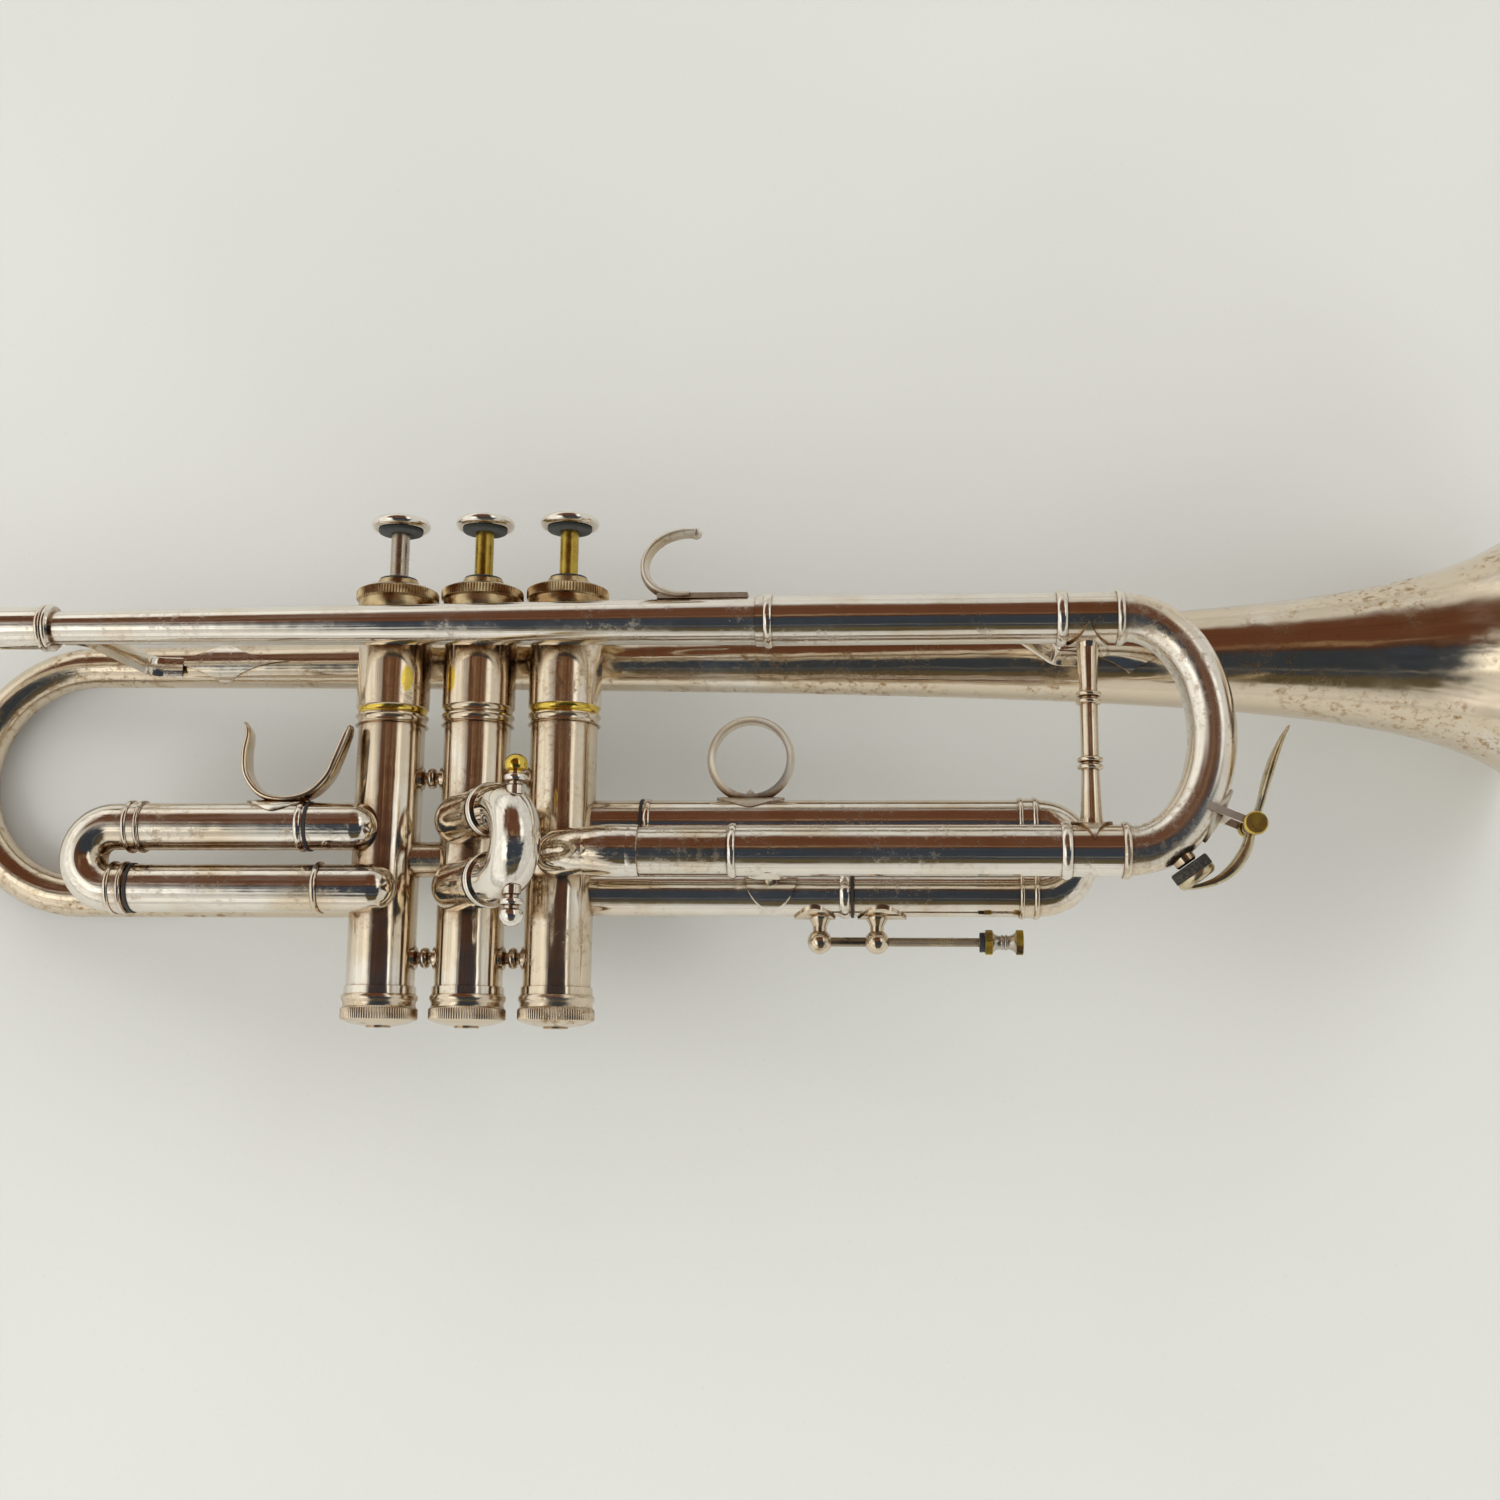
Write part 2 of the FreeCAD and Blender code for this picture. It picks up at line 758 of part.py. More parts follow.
def mouthpiece():
    """Rim, cup, throat and tapered shank, with the cup and backbore open right through."""
    shank = "shank_depth"
    full = "mouthpiece_length"
    corners = [
        (4.1, 0),
        (4.8, 0),
        (5.05, shank),
        (5.35, 48),
        (5.2, 50),
        (6.3, 52),
        (7.2, 56, 0.9),
        (12.2, 78, -0.8),
        (12.4, 81),
        (13.5, 83, 1.0),
        (11.6, full, 0.5),
        (8.6, f"{full} - 0.6", 0.5),
        (8.1, f"{full} - 2.4", -2.0),
        (3.2, f"{full} - 12"),
        (1.85, f"{full} - 14.5"),
        (1.85, f"{full} - 17"),
    ]
    tip = at("receiver_end + shank_depth", 0, "lead_side")
    keep("mouthpiece", turned("mouthpiece_body", corners, tip, LEFT))


# ---------------------------------------------------------------- main tuning slide

def ring_tube(outer, inner, length, rings):
    """Corners of a tube with raised rings, each ring (start, width, how far it stands out)."""
    radius = f"({outer}) / 2"
    corners = [(f"({inner}) / 2", 0), (radius, 0)]
    for start, width, height in rings:
        edge = f"{radius} + {height * 0.5}"
        corners += [(radius, start), (edge, start, height * 0.5)]
        corners += [(edge, start + width), (radius, start + width)]
    corners += [(radius, length), (f"({inner}) / 2", length)]
    return corners


MAIN_TUBE_START = 85.0
MAIN_TUBE_END = 164.4
MAIN_SLEEVE_END = 177.3
BOW_START = 180.0
LEG_REACH = 58.0


def main_slide_outers():
    """The two fixed tubes that the tuning slide runs in, and the ring that joins the leadpipe."""
    length = MAIN_TUBE_END - MAIN_TUBE_START
    end_ring = (length - 2.9, 2.6, 0.9)
    upper = ring_tube("main_tube_dia", "main_tube_bore", length, [end_ring])
    keep("main_slide_outer_upper", turned("main_upper", upper, at(MAIN_TUBE_START, 0, "lead_side"), RIGHT))
    lower_start = 73.4
    length = MAIN_TUBE_END - lower_start
    end_ring = (length - 2.9, 2.6, 0.9)
    lower = ring_tube("main_tube_dia", "main_tube_bore", length, [(0.3, 1.8, 0.6), end_ring])
    lower_base = at(lower_start, "main_lower", "lead_side")
    keep("main_slide_outer_lower", turned("main_lower_tube", lower, lower_base, RIGHT))
    ring = ring_tube(14.0, 12.4, 4.6, [(2.3, 2.0, 0.6)])
    ferrule = turned("leadpipe_ring", ring, at(80.4, 0, "lead_side"), RIGHT)
    seat = leadpipe_cone("leadpipe_ferrule_seat", 0)
    keep("leadpipe_ferrule", cut("leadpipe_ferrule_seated", ferrule, seat))


def main_slide_legs():
    """Two sliding legs, each with the wider collar that stops against the outer tube."""
    legs = []
    for name, height in (("upper", 0), ("lower", "main_lower")):
        collar = MAIN_SLEEVE_END - MAIN_TUBE_END - 0.1
        bore = "tube_bore / 2"
        corners = [
            (bore, 0),
            ("main_leg_dia / 2", 0),
            ("main_leg_dia / 2", LEG_REACH),
            ("main_tube_dia / 2", LEG_REACH),
            ("main_tube_dia / 2", LEG_REACH + collar),
            (bore, LEG_REACH + collar),
        ]
        base = at(MAIN_TUBE_END + 0.1 - LEG_REACH, height, "lead_side")
        legs.append(turned(f"main_leg_{name}", corners, base, RIGHT))
    keep("main_slide_legs", group("main_leg_group", legs))


def main_bow_path(name):
    """The line of the bow: a short straight, half an upright ellipse, a short straight."""
    upper = at(BOW_START, 0, "lead_side")
    lower = at(BOW_START, "main_lower", "lead_side")
    middle = (upper + lower) * 0.5
    ellipse = Part.Ellipse(upper, middle + RIGHT * number("main_bow_reach"), middle)
    bend = Part.ArcOfEllipse(ellipse, 0, math.pi).toShape()
    if bend.valueAt((bend.FirstParameter + bend.LastParameter) / 2).x < BOW_START:
        bend = Part.ArcOfEllipse(ellipse, math.pi, 2 * math.pi).toShape()
    straights = [
        Part.LineSegment(at(MAIN_SLEEVE_END, 0, "lead_side"), upper).toShape(),
        Part.LineSegment(lower, at(MAIN_SLEEVE_END, "main_lower", "lead_side")).toShape(),
    ]
    path = doc.addObject("Part::Feature", name)
    path.Shape = Part.Wire(Part.__sortEdges__([straights[0], bend, straights[1]]))
    return path


def main_slide_bow():
    """The bow with a ferrule ring on each end."""
    path = main_bow_path("main_bow_path")
    outside = [rod("main_bow_outside", path, "crook_dia")]
    for name, height in (("upper", 0), ("lower", "main_lower")):
        ring = ring_tube("main_tube_dia", "tube_bore", 2.6, [(0.2, 1.9, 0.8)])
        base = at(MAIN_SLEEVE_END, height, "lead_side")
        outside.append(turned(f"main_bow_ring_{name}", ring, base, RIGHT))
    bore = rod("main_bow_bore", path, "tube_bore")
    keep("main_slide_bow", cut("main_bow", fuse("main_bow_solid", outside), bore))


def main_slide_brace():
    """The turned post between the legs, with two ring beads and a pointed foot at each end."""
    x = 169.8
    gap = -number("main_lower")
    end_radius = 3.6
    middle = 2.4
    corners = [(0, 0), (end_radius, 0), (end_radius, 6.4), (2.9, 8.4), (middle, 19.6)]
    ring = middle + 0.7
    for height in (20.4, 22.4, 38.2, 40.2):
        corners += [(middle, height), (ring, height + 0.2, 0.4)]
        corners += [(ring, height + 1.4), (middle, height + 1.6)]
    corners += [(2.9, gap - 8.4), (end_radius, gap - 6.4), (end_radius, gap), (0, gap)]
    post = turned("main_brace_post", corners, at(x, 0, "lead_side"), DOWN)
    feet = []
    trims = []
    for name, height, out in (("upper", 0, DOWN), ("lower", "main_lower", UP)):
        spot = at(x, height, "lead_side")
        feet.append(foot(f"main_brace_foot_{name}", 10.4, 15, 0.7, "main_tube_dia", spot, RIGHT, out))
        trims.append(cylinder(f"main_brace_trim_{name}", "main_tube_dia", 40, spot - RIGHT * 20, RIGHT))
    trimmed = cut("main_brace_trimmed", post, *trims)
    keep("main_slide_brace", fuse("main_brace", [trimmed] + feet))


def valve_entry():
    """From the lower slide tube into the third valve: tube, swelling ferrule and elbow."""
    height = "main_lower"
    elbow_x = 25.8
    bend = 8.5
    sleeve_start = at(elbow_x + bend, height, "lead_side")
    elbow_spots = [at(elbow_x, height, 3), at(elbow_x, height, "lead_side"), sleeve_start]
    path = route("entry_elbow_path", elbow_spots, bend)
    elbow = rod("entry_elbow", path, "main_leg_dia")
    elbow_bore = rod("entry_elbow_bore", path, "tube_bore")
    bore = "tube_bore / 2"
    tube_radius = "main_leg_dia / 2"
    corners = [
        (bore, 0),
        (tube_radius, 0, 0.4),
        ("7.1", 12.0, 0.1),
        ("7.0", 14.9),
        (tube_radius, 15.1),
        (tube_radius, 38.9),
        (bore, 38.9),
    ]
    sleeve = turned("entry_sleeve", corners, sleeve_start, RIGHT)
    bored_elbow = cut("entry_elbow_bored", elbow, elbow_bore)
    joined = fuse("entry_joined", [bored_elbow, sleeve])
    keep("valve_entry_tube", cut("entry_trimmed", joined, casing_plug("entry_trim", 3)))


# ---------------------------------------------------------------- water key

KEY_PIVOT = (211.2, -56.9)
KEY_EAR = 5.0
EAR_WIDTH = 1.2
KEY_FOOT_TURN = 38.0
KEY_MOUTH_TURN = 64.0


def bow_spot(turn):
    """A spot on the bow's line, turn degrees round its ellipse below the middle, and the way out."""
    angle = math.radians(turn)
    reach = number("main_bow_reach")
    height = -number("main_lower") / 2
    x = BOW_START + reach * math.cos(angle)
    y = number("main_lower") / 2 - height * math.sin(angle)
    out = Vector(math.cos(angle) / reach, -math.sin(angle) / height, 0).normalize()
    return at(x, y, "lead_side"), out


def bow_plug(name, grow=0):
    """The space the bow fills, or with grow a little more."""
    return rod(name, main_bow_path(name + "_path"), f"crook_dia + {grow}")


def water_key_saddle(pivot):
    """A leaf-shaped foot on the bow with two ears for the lever's screw."""
    spot, out = bow_spot(KEY_FOOT_TURN)
    across = NEAR.cross(out)
    corners = [(-8, 0, 0.6), (0, -5.6, 0.6), (8, 0, 0.6), (0, 5.6, 0.6)]
    leaf = padded("key_foot_leaf", corners, 12, Placement(spot, Rotation(across, NEAR, out, "ZXY")))
    pieces = [common("key_foot", leaf, bow_plug("key_foot_skin", 1.6))]
    stem = pivot - spot
    length = stem.Length
    ear_depth = 2.0
    along = Vector(stem).normalize()
    sideways = NEAR.cross(along)
    turned_up = Rotation(along, sideways, NEAR, "ZXY")
    for name, low in (("near", KEY_EAR), ("far", -KEY_EAR - EAR_WIDTH)):
        middle = spot + along * (length / 2) + NEAR * (low + EAR_WIDTH / 2)
        place = Placement(middle, turned_up)
        pieces.append(block(f"key_ear_{name}", length, ear_depth, EAR_WIDTH, place))
        pieces.append(cylinder(f"key_eye_{name}", 4.8, EAR_WIDTH, pivot + NEAR * low, NEAR))
    web_middle = spot + along * (number("crook_dia") / 2 + 1.4)
    web_place = Placement(web_middle, turned_up)
    pieces.append(block("key_web", 2.0, ear_depth, 2 * (KEY_EAR + EAR_WIDTH), web_place))
    solid = fuse("key_saddle_solid", pieces)
    hole = cylinder("key_hole", 1.6, 20, pivot - NEAR * 10, NEAR)
    keep("water_key_saddle", cut("key_saddle", solid, bow_plug("key_saddle_trim"), hole))


def water_key_screw(pivot):
    grip = 2 * (KEY_EAR + EAR_WIDTH)
    shank = 0.75
    head = 3.1
    corners = [
        (0, 0),
        (shank, 0),
        (shank, grip + 0.05),
        (head, grip + 0.05),
        (head, grip + 0.9),
        (head - 0.4, grip + 1.3),
        (0, grip + 1.3),
    ]
    keep("water_key_screw", turned("key_screw", corners, pivot - NEAR * (grip / 2), NEAR))


def water_key_spring(pivot):
    """Two coils round the lever's barrel, one each side of its arms."""
    coils = []
    for name, low in (("near", 3.1), ("far", -4.8)):
        coil = doc.addObject("Part::Helix", f"key_coil_{name}")
        coil.Radius = 2.35
        coil.Pitch = 0.62
        coil.Height = 1.7
        coil.SegmentLength = 1
        coil.Placement = facing(pivot + NEAR * low, NEAR)
        doc.recompute()
        edge = coil.Shape.Edges[0]
        place = facing(edge.valueAt(edge.FirstParameter), edge.tangentAt(edge.FirstParameter))
        wire = primitive("Part::Circle", f"key_wire_{name}", place, Radius=0.26)
        spring = swept(f"key_spring_{name}", coil, wire)
        spring.Frenet = True
        coils.append(spring)
    keep("water_key_spring", group("key_spring_pair", coils))


def water_key_lever(pivot, mouth, out):
    """Barrel, thumb arm, cork arm and cork cup in one piece."""
    cup_corners = [(0, 4.1), (5.0, 4.1), (5.0, 3.4), (5.5, 3.4), (5.5, 5.4), (4.0, 6.2), (0, 6.4)]
    cup = turned("key_cup", cup_corners, mouth, out)
    cup_top = mouth + out * 5.8
    side = "lead_side"
    arm_spots = [pivot, at(209.6, -61.5, side), at(206.0, -66.2, side), cup_top]
    arm = strap("key_arm", curve("key_arm_path", arm_spots), 4.6, 2.6, NEAR)
    thumb_spots = [pivot, at(214.4, -48.6, side), at(217.2, -40.8, side), at(221.9, -30.4, side)]
    thumb = strap("key_thumb", curve("key_thumb_path", thumb_spots), 6.0, 1.6, NEAR)
    hub = cylinder("key_hub", 3.8, 2 * KEY_EAR - 0.3, pivot - NEAR * (KEY_EAR - 0.15), NEAR)
    hole = cylinder("key_lever_hole", 1.62, 20, pivot - NEAR * 10, NEAR)
    solid = fuse("key_lever_solid", [hub, arm, thumb, cup])
    keep("water_key_lever", cut("key_lever", solid, hole))


def water_key():
    """Saddle, screw, spring, lever, nipple and cork, on the lower bend of the tuning slide."""
    pivot = at(*KEY_PIVOT, "lead_side")
    water_key_saddle(pivot)
    water_key_screw(pivot)
    water_key_spring(pivot)
    spot, out = bow_spot(KEY_MOUTH_TURN)
    mouth = spot + out * (number("crook_dia") / 2)
    corners = [(1.6, -1.6), (3.0, -1.6), (3.0, 1.1), (2.5, 1.7), (1.6, 1.7)]
    nipple = turned("key_nipple", corners, mouth, out)
    keep("water_key_nipple", cut("key_nipple_seated", nipple, bow_plug("key_nipple_trim")))
    cork_corners = [(0, 1.75), (4.6, 1.75), (4.9, 4.05), (0, 4.05)]
    keep("water_key_cork", turned("key_cork", cork_corners, mouth, out))
    water_key_lever(pivot, mouth, out)


# ---------------------------------------------------------------- valve slides

def crook(name, upper, lower, along, bend_start, ferrule):
    """The U-bend of a valve slide with a ferrule on each leg.

    upper and lower are the ends of the legs, along is the way the slide pulls out, and bend_start is
    how far the bend begins from the upper leg's end.
    """
    half = abs(upper.y - lower.y) / 2
    reach = along * (bend_start + half)
    upper_corner = upper + reach
    lower_corner = upper_corner + at(0, lower.y - upper.y, 0)
    path = route(name + "_path", [upper, upper_corner, lower_corner, lower], half)
    pieces = [rod(name + "_bend", path, "crook_dia")]
    for index, end in enumerate((upper, lower)):
        rings = [(0.3, 1.0, 0.4), (ferrule - 1.5, 1.2, 0.5)]
        corners = ring_tube("slide_tube_dia + 0.7", "tube_bore", ferrule, rings)
        pieces.append(turned(f"{name}_ferrule_{index}", corners, end, along))
    bore = rod(name + "_bore", path, "tube_bore")
    return cut(name + "_bored", fuse(name + "_whole", pieces), bore)


FIRST_SHOULDER = -43.6
FIRST_OUTER_START = -93.0
FIRST_LEG_END = -90.8


def first_slide_fixed():
    """The upper tube that the upper leg slips over, and the lower tube that the lower leg slips into."""
    side = "first_side"
    upper = "first_upper"
    knuckle = at(FIRST_UPPER_KNUCKLE, upper, side)
    inner_start = at(-88, upper, side)
    stub_length = FIRST_UPPER_KNUCKLE - FIRST_SHOULDER
    outside = fuse("first_upper_solid", [
        cylinder("first_stub", "slide_tube_dia", stub_length, knuckle - RIGHT * stub_length, RIGHT),
        cylinder("first_inner", "slide_leg_dia", FIRST_SHOULDER - inner_start.x, inner_start, RIGHT),
        ball("first_upper_knuckle", "slide_tube_dia", knuckle),
    ])
    bore_start = inner_start - RIGHT * 2
    tools = [
        cylinder("first_upper_bore", "tube_bore", knuckle.x - bore_start.x, bore_start, RIGHT),
        ball("first_upper_bore_end", "tube_bore", knuckle),
        passage("first_upper_port", 1, upper, FIRST_UPPER_KNUCKLE, side),
        casing_plug("first_upper_trim", 1),
    ]
    keep("first_slide_inner_upper", cut("first_upper_open", outside, *tools))

    lower = "first_lower"
    knuckle = at(FIRST_LOWER_KNUCKLE, lower, side)
    start = at(FIRST_OUTER_START, lower, side)
    length = FIRST_LOWER_KNUCKLE - FIRST_OUTER_START
    ring_start = 51.8
    corners = ring_tube("slide_tube_dia", "tube_bore", length, [(ring_start, 1.5, 0.8)])
    run = turned("first_outer", corners, start, RIGHT)
    solid = fuse("first_lower_solid", [run, ball("first_lower_knuckle", "slide_tube_dia", knuckle)])
    tools = [
        cylinder("first_lower_bore", "slide_tube_bore", ring_start, start - RIGHT, RIGHT),
        cylinder("first_lower_way", "tube_bore", length, start, RIGHT),
        ball("first_lower_bore_end", "tube_bore", knuckle),
        passage("first_lower_port", 1, lower, FIRST_LOWER_KNUCKLE, side),
        casing_plug("first_lower_trim", 1),
    ]
    keep("first_slide_outer_lower", cut("first_lower_open", solid, *tools))


def first_slide_moving():
    """The legs and crook that the left thumb moves."""
    side = "first_side"
    upper_tip = at(FIRST_LEG_END, "first_upper", side)
    lower_tip = at(-94.6, "first_lower", side)
    bend_x = -99.7
    upper_length = FIRST_SHOULDER - 1 - FIRST_LEG_END
    end_ring = (upper_length - 2.2, 1.6, 0.5)
    upper_leg = ring_tube("slide_tube_dia", "slide_tube_bore", upper_length, [end_ring])
    legs = [
        turned("first_leg_upper", upper_leg, upper_tip, RIGHT),
        tube("first_leg_lower", "slide_leg_dia", "tube_bore", 46, lower_tip, RIGHT),
    ]
    keep("first_slide_legs", group("first_leg_group", legs))
    bend_start = FIRST_LEG_END - bend_x
    keep("first_slide_crook", crook("first_crook", upper_tip, lower_tip, LEFT, bend_start, 5.0))


def thumb_saddle():
    """The open loop that the thumb rests in, on top of the first slide's upper leg."""
    side = "first_side"
    spots = [
        at(-63.6, -26.2, side),
        at(-63.3, -33.5, side),
        at(-61.4, -40.9, side),
        at(-57.0, -46.2, side),
        at(-50.6, -47.9, side),
        at(-43.8, -44.6, side),
        at(-39.4, -37.6, side),
        at(-35.3, -28.2, side),
    ]
    band = strap("thumb_band", curve("thumb_band_path", spots), 7.0, 2.0, NEAR)
    spot = at(-54.5, "first_upper", side)
    plate = foot("thumb_foot", 17, 11, 0.7, "slide_tube_dia", spot, RIGHT, UP)
    plug = cylinder("thumb_trim", "slide_tube_dia", 40, spot - RIGHT * 20, RIGHT)
    keep("thumb_saddle", cut("thumb_saddle_seated", fuse("thumb_saddle_solid", [band, plate]), plug))


THIRD_SHOULDER = 47.0
THIRD_OUTER_END = 105.8
THIRD_LEG_END = 151.6


def third_slide_fixed():
    """The upper tube that the upper leg slips over, and the lower tube that the lower leg slips into."""
    side = "third_side"
    casing_side = 30.0
    start = at(casing_side, "third_upper", side)
    solid = fuse("third_upper_solid", [
        cylinder("third_stub", "slide_tube_dia", THIRD_SHOULDER - casing_side, start, RIGHT),
        cylinder("third_inner", "slide_leg_dia", 55, at(THIRD_SHOULDER, "third_upper", side), RIGHT),
    ])
    bore = cylinder("third_inner_bore", "tube_bore", 80, start - RIGHT, RIGHT)
    trim = casing_plug("third_upper_trim", 3)
    keep("third_slide_inner_upper", cut("third_upper_open", solid, bore, trim))

    length = THIRD_OUTER_END - casing_side
    corners = ring_tube("slide_tube_dia", "slide_tube_bore", length, [(length - 2.9, 2.5, 0.7)])
    run = turned("third_outer", corners, at(casing_side, "third_lower", side), RIGHT)
    keep("third_slide_outer_lower", cut("third_lower_open", run, casing_plug("third_lower_trim", 3)))


def third_slide_moving():
    """The legs and crook that the ring finger moves."""
    side = "third_side"
    crook_x = 157.4
    upper_start = at(THIRD_SHOULDER + 0.9, "third_upper", side)
    upper_length = THIRD_LEG_END - upper_start.x
    upper_leg = ring_tube("slide_tube_dia", "slide_tube_bore", upper_length, [(0.4, 1.6, 0.5)])
    collar_start = at(THIRD_OUTER_END + 1.1, "third_lower", side)
    bore = "tube_bore / 2"
    reach = 44.0
    end = THIRD_LEG_END - collar_start.x + reach
    lower_leg = [
        (bore, 0),
        ("slide_leg_dia / 2", 0),
        ("slide_leg_dia / 2", reach),
        ("slide_tube_dia / 2", reach),
        ("slide_tube_dia / 2", end),
        (bore, end),
    ]
    legs = [
        turned("third_leg_upper", upper_leg, upper_start, RIGHT),
        turned("third_leg_lower", lower_leg, collar_start - RIGHT * reach, RIGHT),
    ]
    keep("third_slide_legs", group("third_leg_group", legs))
    tips = (at(THIRD_LEG_END, "third_upper", side), at(THIRD_LEG_END, "third_lower", side))
    bend_start = crook_x - THIRD_LEG_END
    keep("third_slide_crook", crook("third_crook", *tips, RIGHT, bend_start, 5.6))


def finger_ring():
    """The ring that the left ring finger goes through: a rounded band on the third slide's upper leg."""
    side = "third_side"
    ring_x = 77.7
    inner = 10.2
    outer = 12.5
    half_width = 2.4
    corners = [
        (inner, -half_width),
        (outer - 0.9, -half_width, 0.5),
        (outer - 0.9, half_width),
        (inner, half_width),
    ]
    ring = turned("finger_ring_band", corners, at(ring_x, -34.9, side), NEAR)
    spot = at(ring_x, "third_upper", side)
    plate = foot("finger_ring_foot", 19, 9, 0.7, "slide_tube_dia", spot, RIGHT, UP)
    neck = block("finger_ring_neck", 7, 1.6, 2.2, Placement(spot + UP * 7.3, Rotation()))
    plug = cylinder("finger_ring_trim", "slide_tube_dia", 40, spot - RIGHT * 20, RIGHT)
    keep("finger_ring", cut("finger_ring_seated", fuse("finger_ring_solid", [ring, plate, neck]), plug))


STOP_HEIGHT = -86.0
STOP_FIXED = 97.2
STOP_MOVING = 112.9
STOP_NUT = 142.4
STOP_ROD_DIA = 2.6


def stop_post(name, x, foot_x, foot_length):
    """A ball on a short neck, standing on an oval foot under the lower slide tube."""
    side = "third_side"
    foot_spot = at(foot_x, "third_lower", side)
    plate = foot(name + "_foot", foot_length, 11, 0.8, "slide_tube_dia", foot_spot, RIGHT, DOWN, swell=0.14)
    spot = at(x, "third_lower", side)
    neck_corners = [(0, 5), (3.4, 5), (3.0, 7.4), (1.9, 9.4), (1.9, 11.5), (0, 11.5)]
    neck = turned(name + "_neck", neck_corners, spot, DOWN)
    plug = cylinder(name + "_trim", "slide_tube_dia", 30, spot - RIGHT * 15, RIGHT)
    whole = fuse(name + "_solid", [neck, plate, ball(name + "_ball", 6.8, at(x, STOP_HEIGHT, side))])
    return cut(name + "_seated", whole, plug)


def stop_rod():
    """The rod that limits the third slide: two ball posts, threaded rod, knurled nut, rubber ring."""
    side = "third_side"
    rod_start = STOP_FIXED - 1.5
    rod_length = 152.0 - rod_start
    fixed = stop_post("stop_fixed", STOP_FIXED, STOP_FIXED - 1.4, 11.4)
    base = at(rod_start, STOP_HEIGHT, side)
    socket = cylinder("stop_socket", STOP_ROD_DIA, 12, base, RIGHT)
    keep("stop_rod_post", cut("stop_fixed_drilled", fixed, socket))
    moving = stop_post("stop_moving", STOP_MOVING, STOP_MOVING + 1.4, 13.5)
    hole_base = at(STOP_MOVING - 6, STOP_HEIGHT, side)
    hole = cylinder("stop_hole", STOP_ROD_DIA + 0.16, 12, hole_base, RIGHT)
    keep("stop_rod_guide", cut("stop_moving_drilled", moving, hole))
    keep("stop_rod", cylinder("stop_bar", STOP_ROD_DIA, rod_length, base, RIGHT))
    bore = STOP_ROD_DIA / 2 + 0.06
    flange = 3.4
    corners = [
        (bore, 0),
        (flange, 0),
        (flange, 2.0),
        (2.0, 3.0),
        (1.9, 4.3),
        (2.3, 4.6, 0.3),
        (2.3, 5.7),
        (1.9, 6.0),
        (2.0, 7.3),
        (flange, 8.3),
        (flange, 10.3),
        (bore, 10.3),
    ]
    keep("stop_nut", turned("stop_nut_body", corners, at(STOP_NUT, STOP_HEIGHT, side), RIGHT))


def slide_bumpers():
    """Black rubber rings on the first and third slides' fixed tubes, and on the stop rod."""
    spots = [
        (FIRST_SHOULDER, "first_upper", "first_side", LEFT),
        (FIRST_OUTER_START, "first_lower", "first_side", LEFT),
        (THIRD_SHOULDER, "third_upper", "third_side", RIGHT),
        (THIRD_OUTER_END, "third_lower", "third_side", RIGHT),
    ]
    rings = []
    for index, (x, height, side, along) in enumerate(spots):
        rings.append(tube(f"slide_bumper_{index}", 14.0, 12.5, 0.8, at(x, height, side), along))
    thickness = 1.4
    base = at(STOP_NUT - thickness - 0.1, STOP_HEIGHT, "third_side")
    rings.append(tube("stop_bumper", 5.4, STOP_ROD_DIA, thickness, base, RIGHT))
    keep("slide_bumpers", group("bumper_group", rings))


def second_slide():
    """The short slide of the middle valve, pointing towards the leadpipe side and forwards."""
    angle = math.radians(number("second_angle"))
    along = Vector(math.sin(angle), 0, math.cos(angle))
    base_x = -3.7
    base_side = 9.0
    socket_length = 22.4
    elbow_x = -2.4
    elbow_bend = 8.0
    sockets = []
    legs = []
    for name, height in (("upper", "second_upper"), ("lower", "second_lower")):
        mouth = at(base_x, height, base_side) + along * socket_length
        corner = at(base_x, height, base_side) + along * ((elbow_x - base_x) / along.x)
        path = route(f"second_socket_path_{name}", [at(elbow_x, height, 2), corner, mouth], elbow_bend)
        solid = fuse(f"second_socket_solid_{name}", [
            rod(f"second_socket_outside_{name}", path, "slide_tube_dia"),
            cylinder(f"second_socket_ring_{name}", "slide_tube_dia + 1.0", 2.6, mouth - along * 2.8, along),
        ])
        bore = rod(f"second_socket_bore_{name}", path, "slide_tube_bore")
        sockets.append(cut(f"second_socket_{name}", solid, bore, casing_plug(f"second_trim_{name}", 2)))
        leg_start = mouth - along * 16
        legs.append(tube(f"second_leg_{name}", "slide_leg_dia", "tube_bore", 16.4, leg_start, along))
    keep("second_slide_sockets", group("second_socket_group", sockets))
    keep("second_slide_legs", group("second_leg_group", legs))

    straight = 6.6
    mouth_offset = socket_length + 0.4
    upper_tip = at(base_x, "second_upper", base_side) + along * mouth_offset
    lower_tip = at(base_x, "second_lower", base_side) + along * mouth_offset
    keep("second_slide_crook", crook("second_crook", upper_tip, lower_tip, along, straight, 3.0))

    centre = (upper_tip + lower_tip) * 0.5 + along * straight
    radius = "(second_upper - second_lower) / 2"
    knobs = []
    outer = number(radius) + number("crook_dia") / 2
    knob_corners = [
        (0, -1.6),
        (2.4, -1.6),
        (2.4, 0.6),
        (1.8, 1.0),
        (1.8, 1.6),
        (2.9, 2.0, 0.2),
        (2.9, 3.4),
        (2.0, 3.8),
        (2.0, 4.4),
        (3.0, 5.0, 1.0),
        (0.9, 9.0),
        (0, 9.0),
    ]
    knob_offset = 8.4
    spot = centre + along * knob_offset
    lift = math.sqrt(outer ** 2 - knob_offset ** 2)
    trim = half_ring("knob_trim", radius, "crook_dia", centre, UP, along)
    for name, out in (("upper", UP), ("lower", DOWN)):
        knob = turned(f"pull_knob_{name}", knob_corners, spot + out * lift, out)
        knobs.append(cut(f"pull_knob_seated_{name}", knob, trim))
    keep("second_slide_knobs", group("knob_group", knobs))


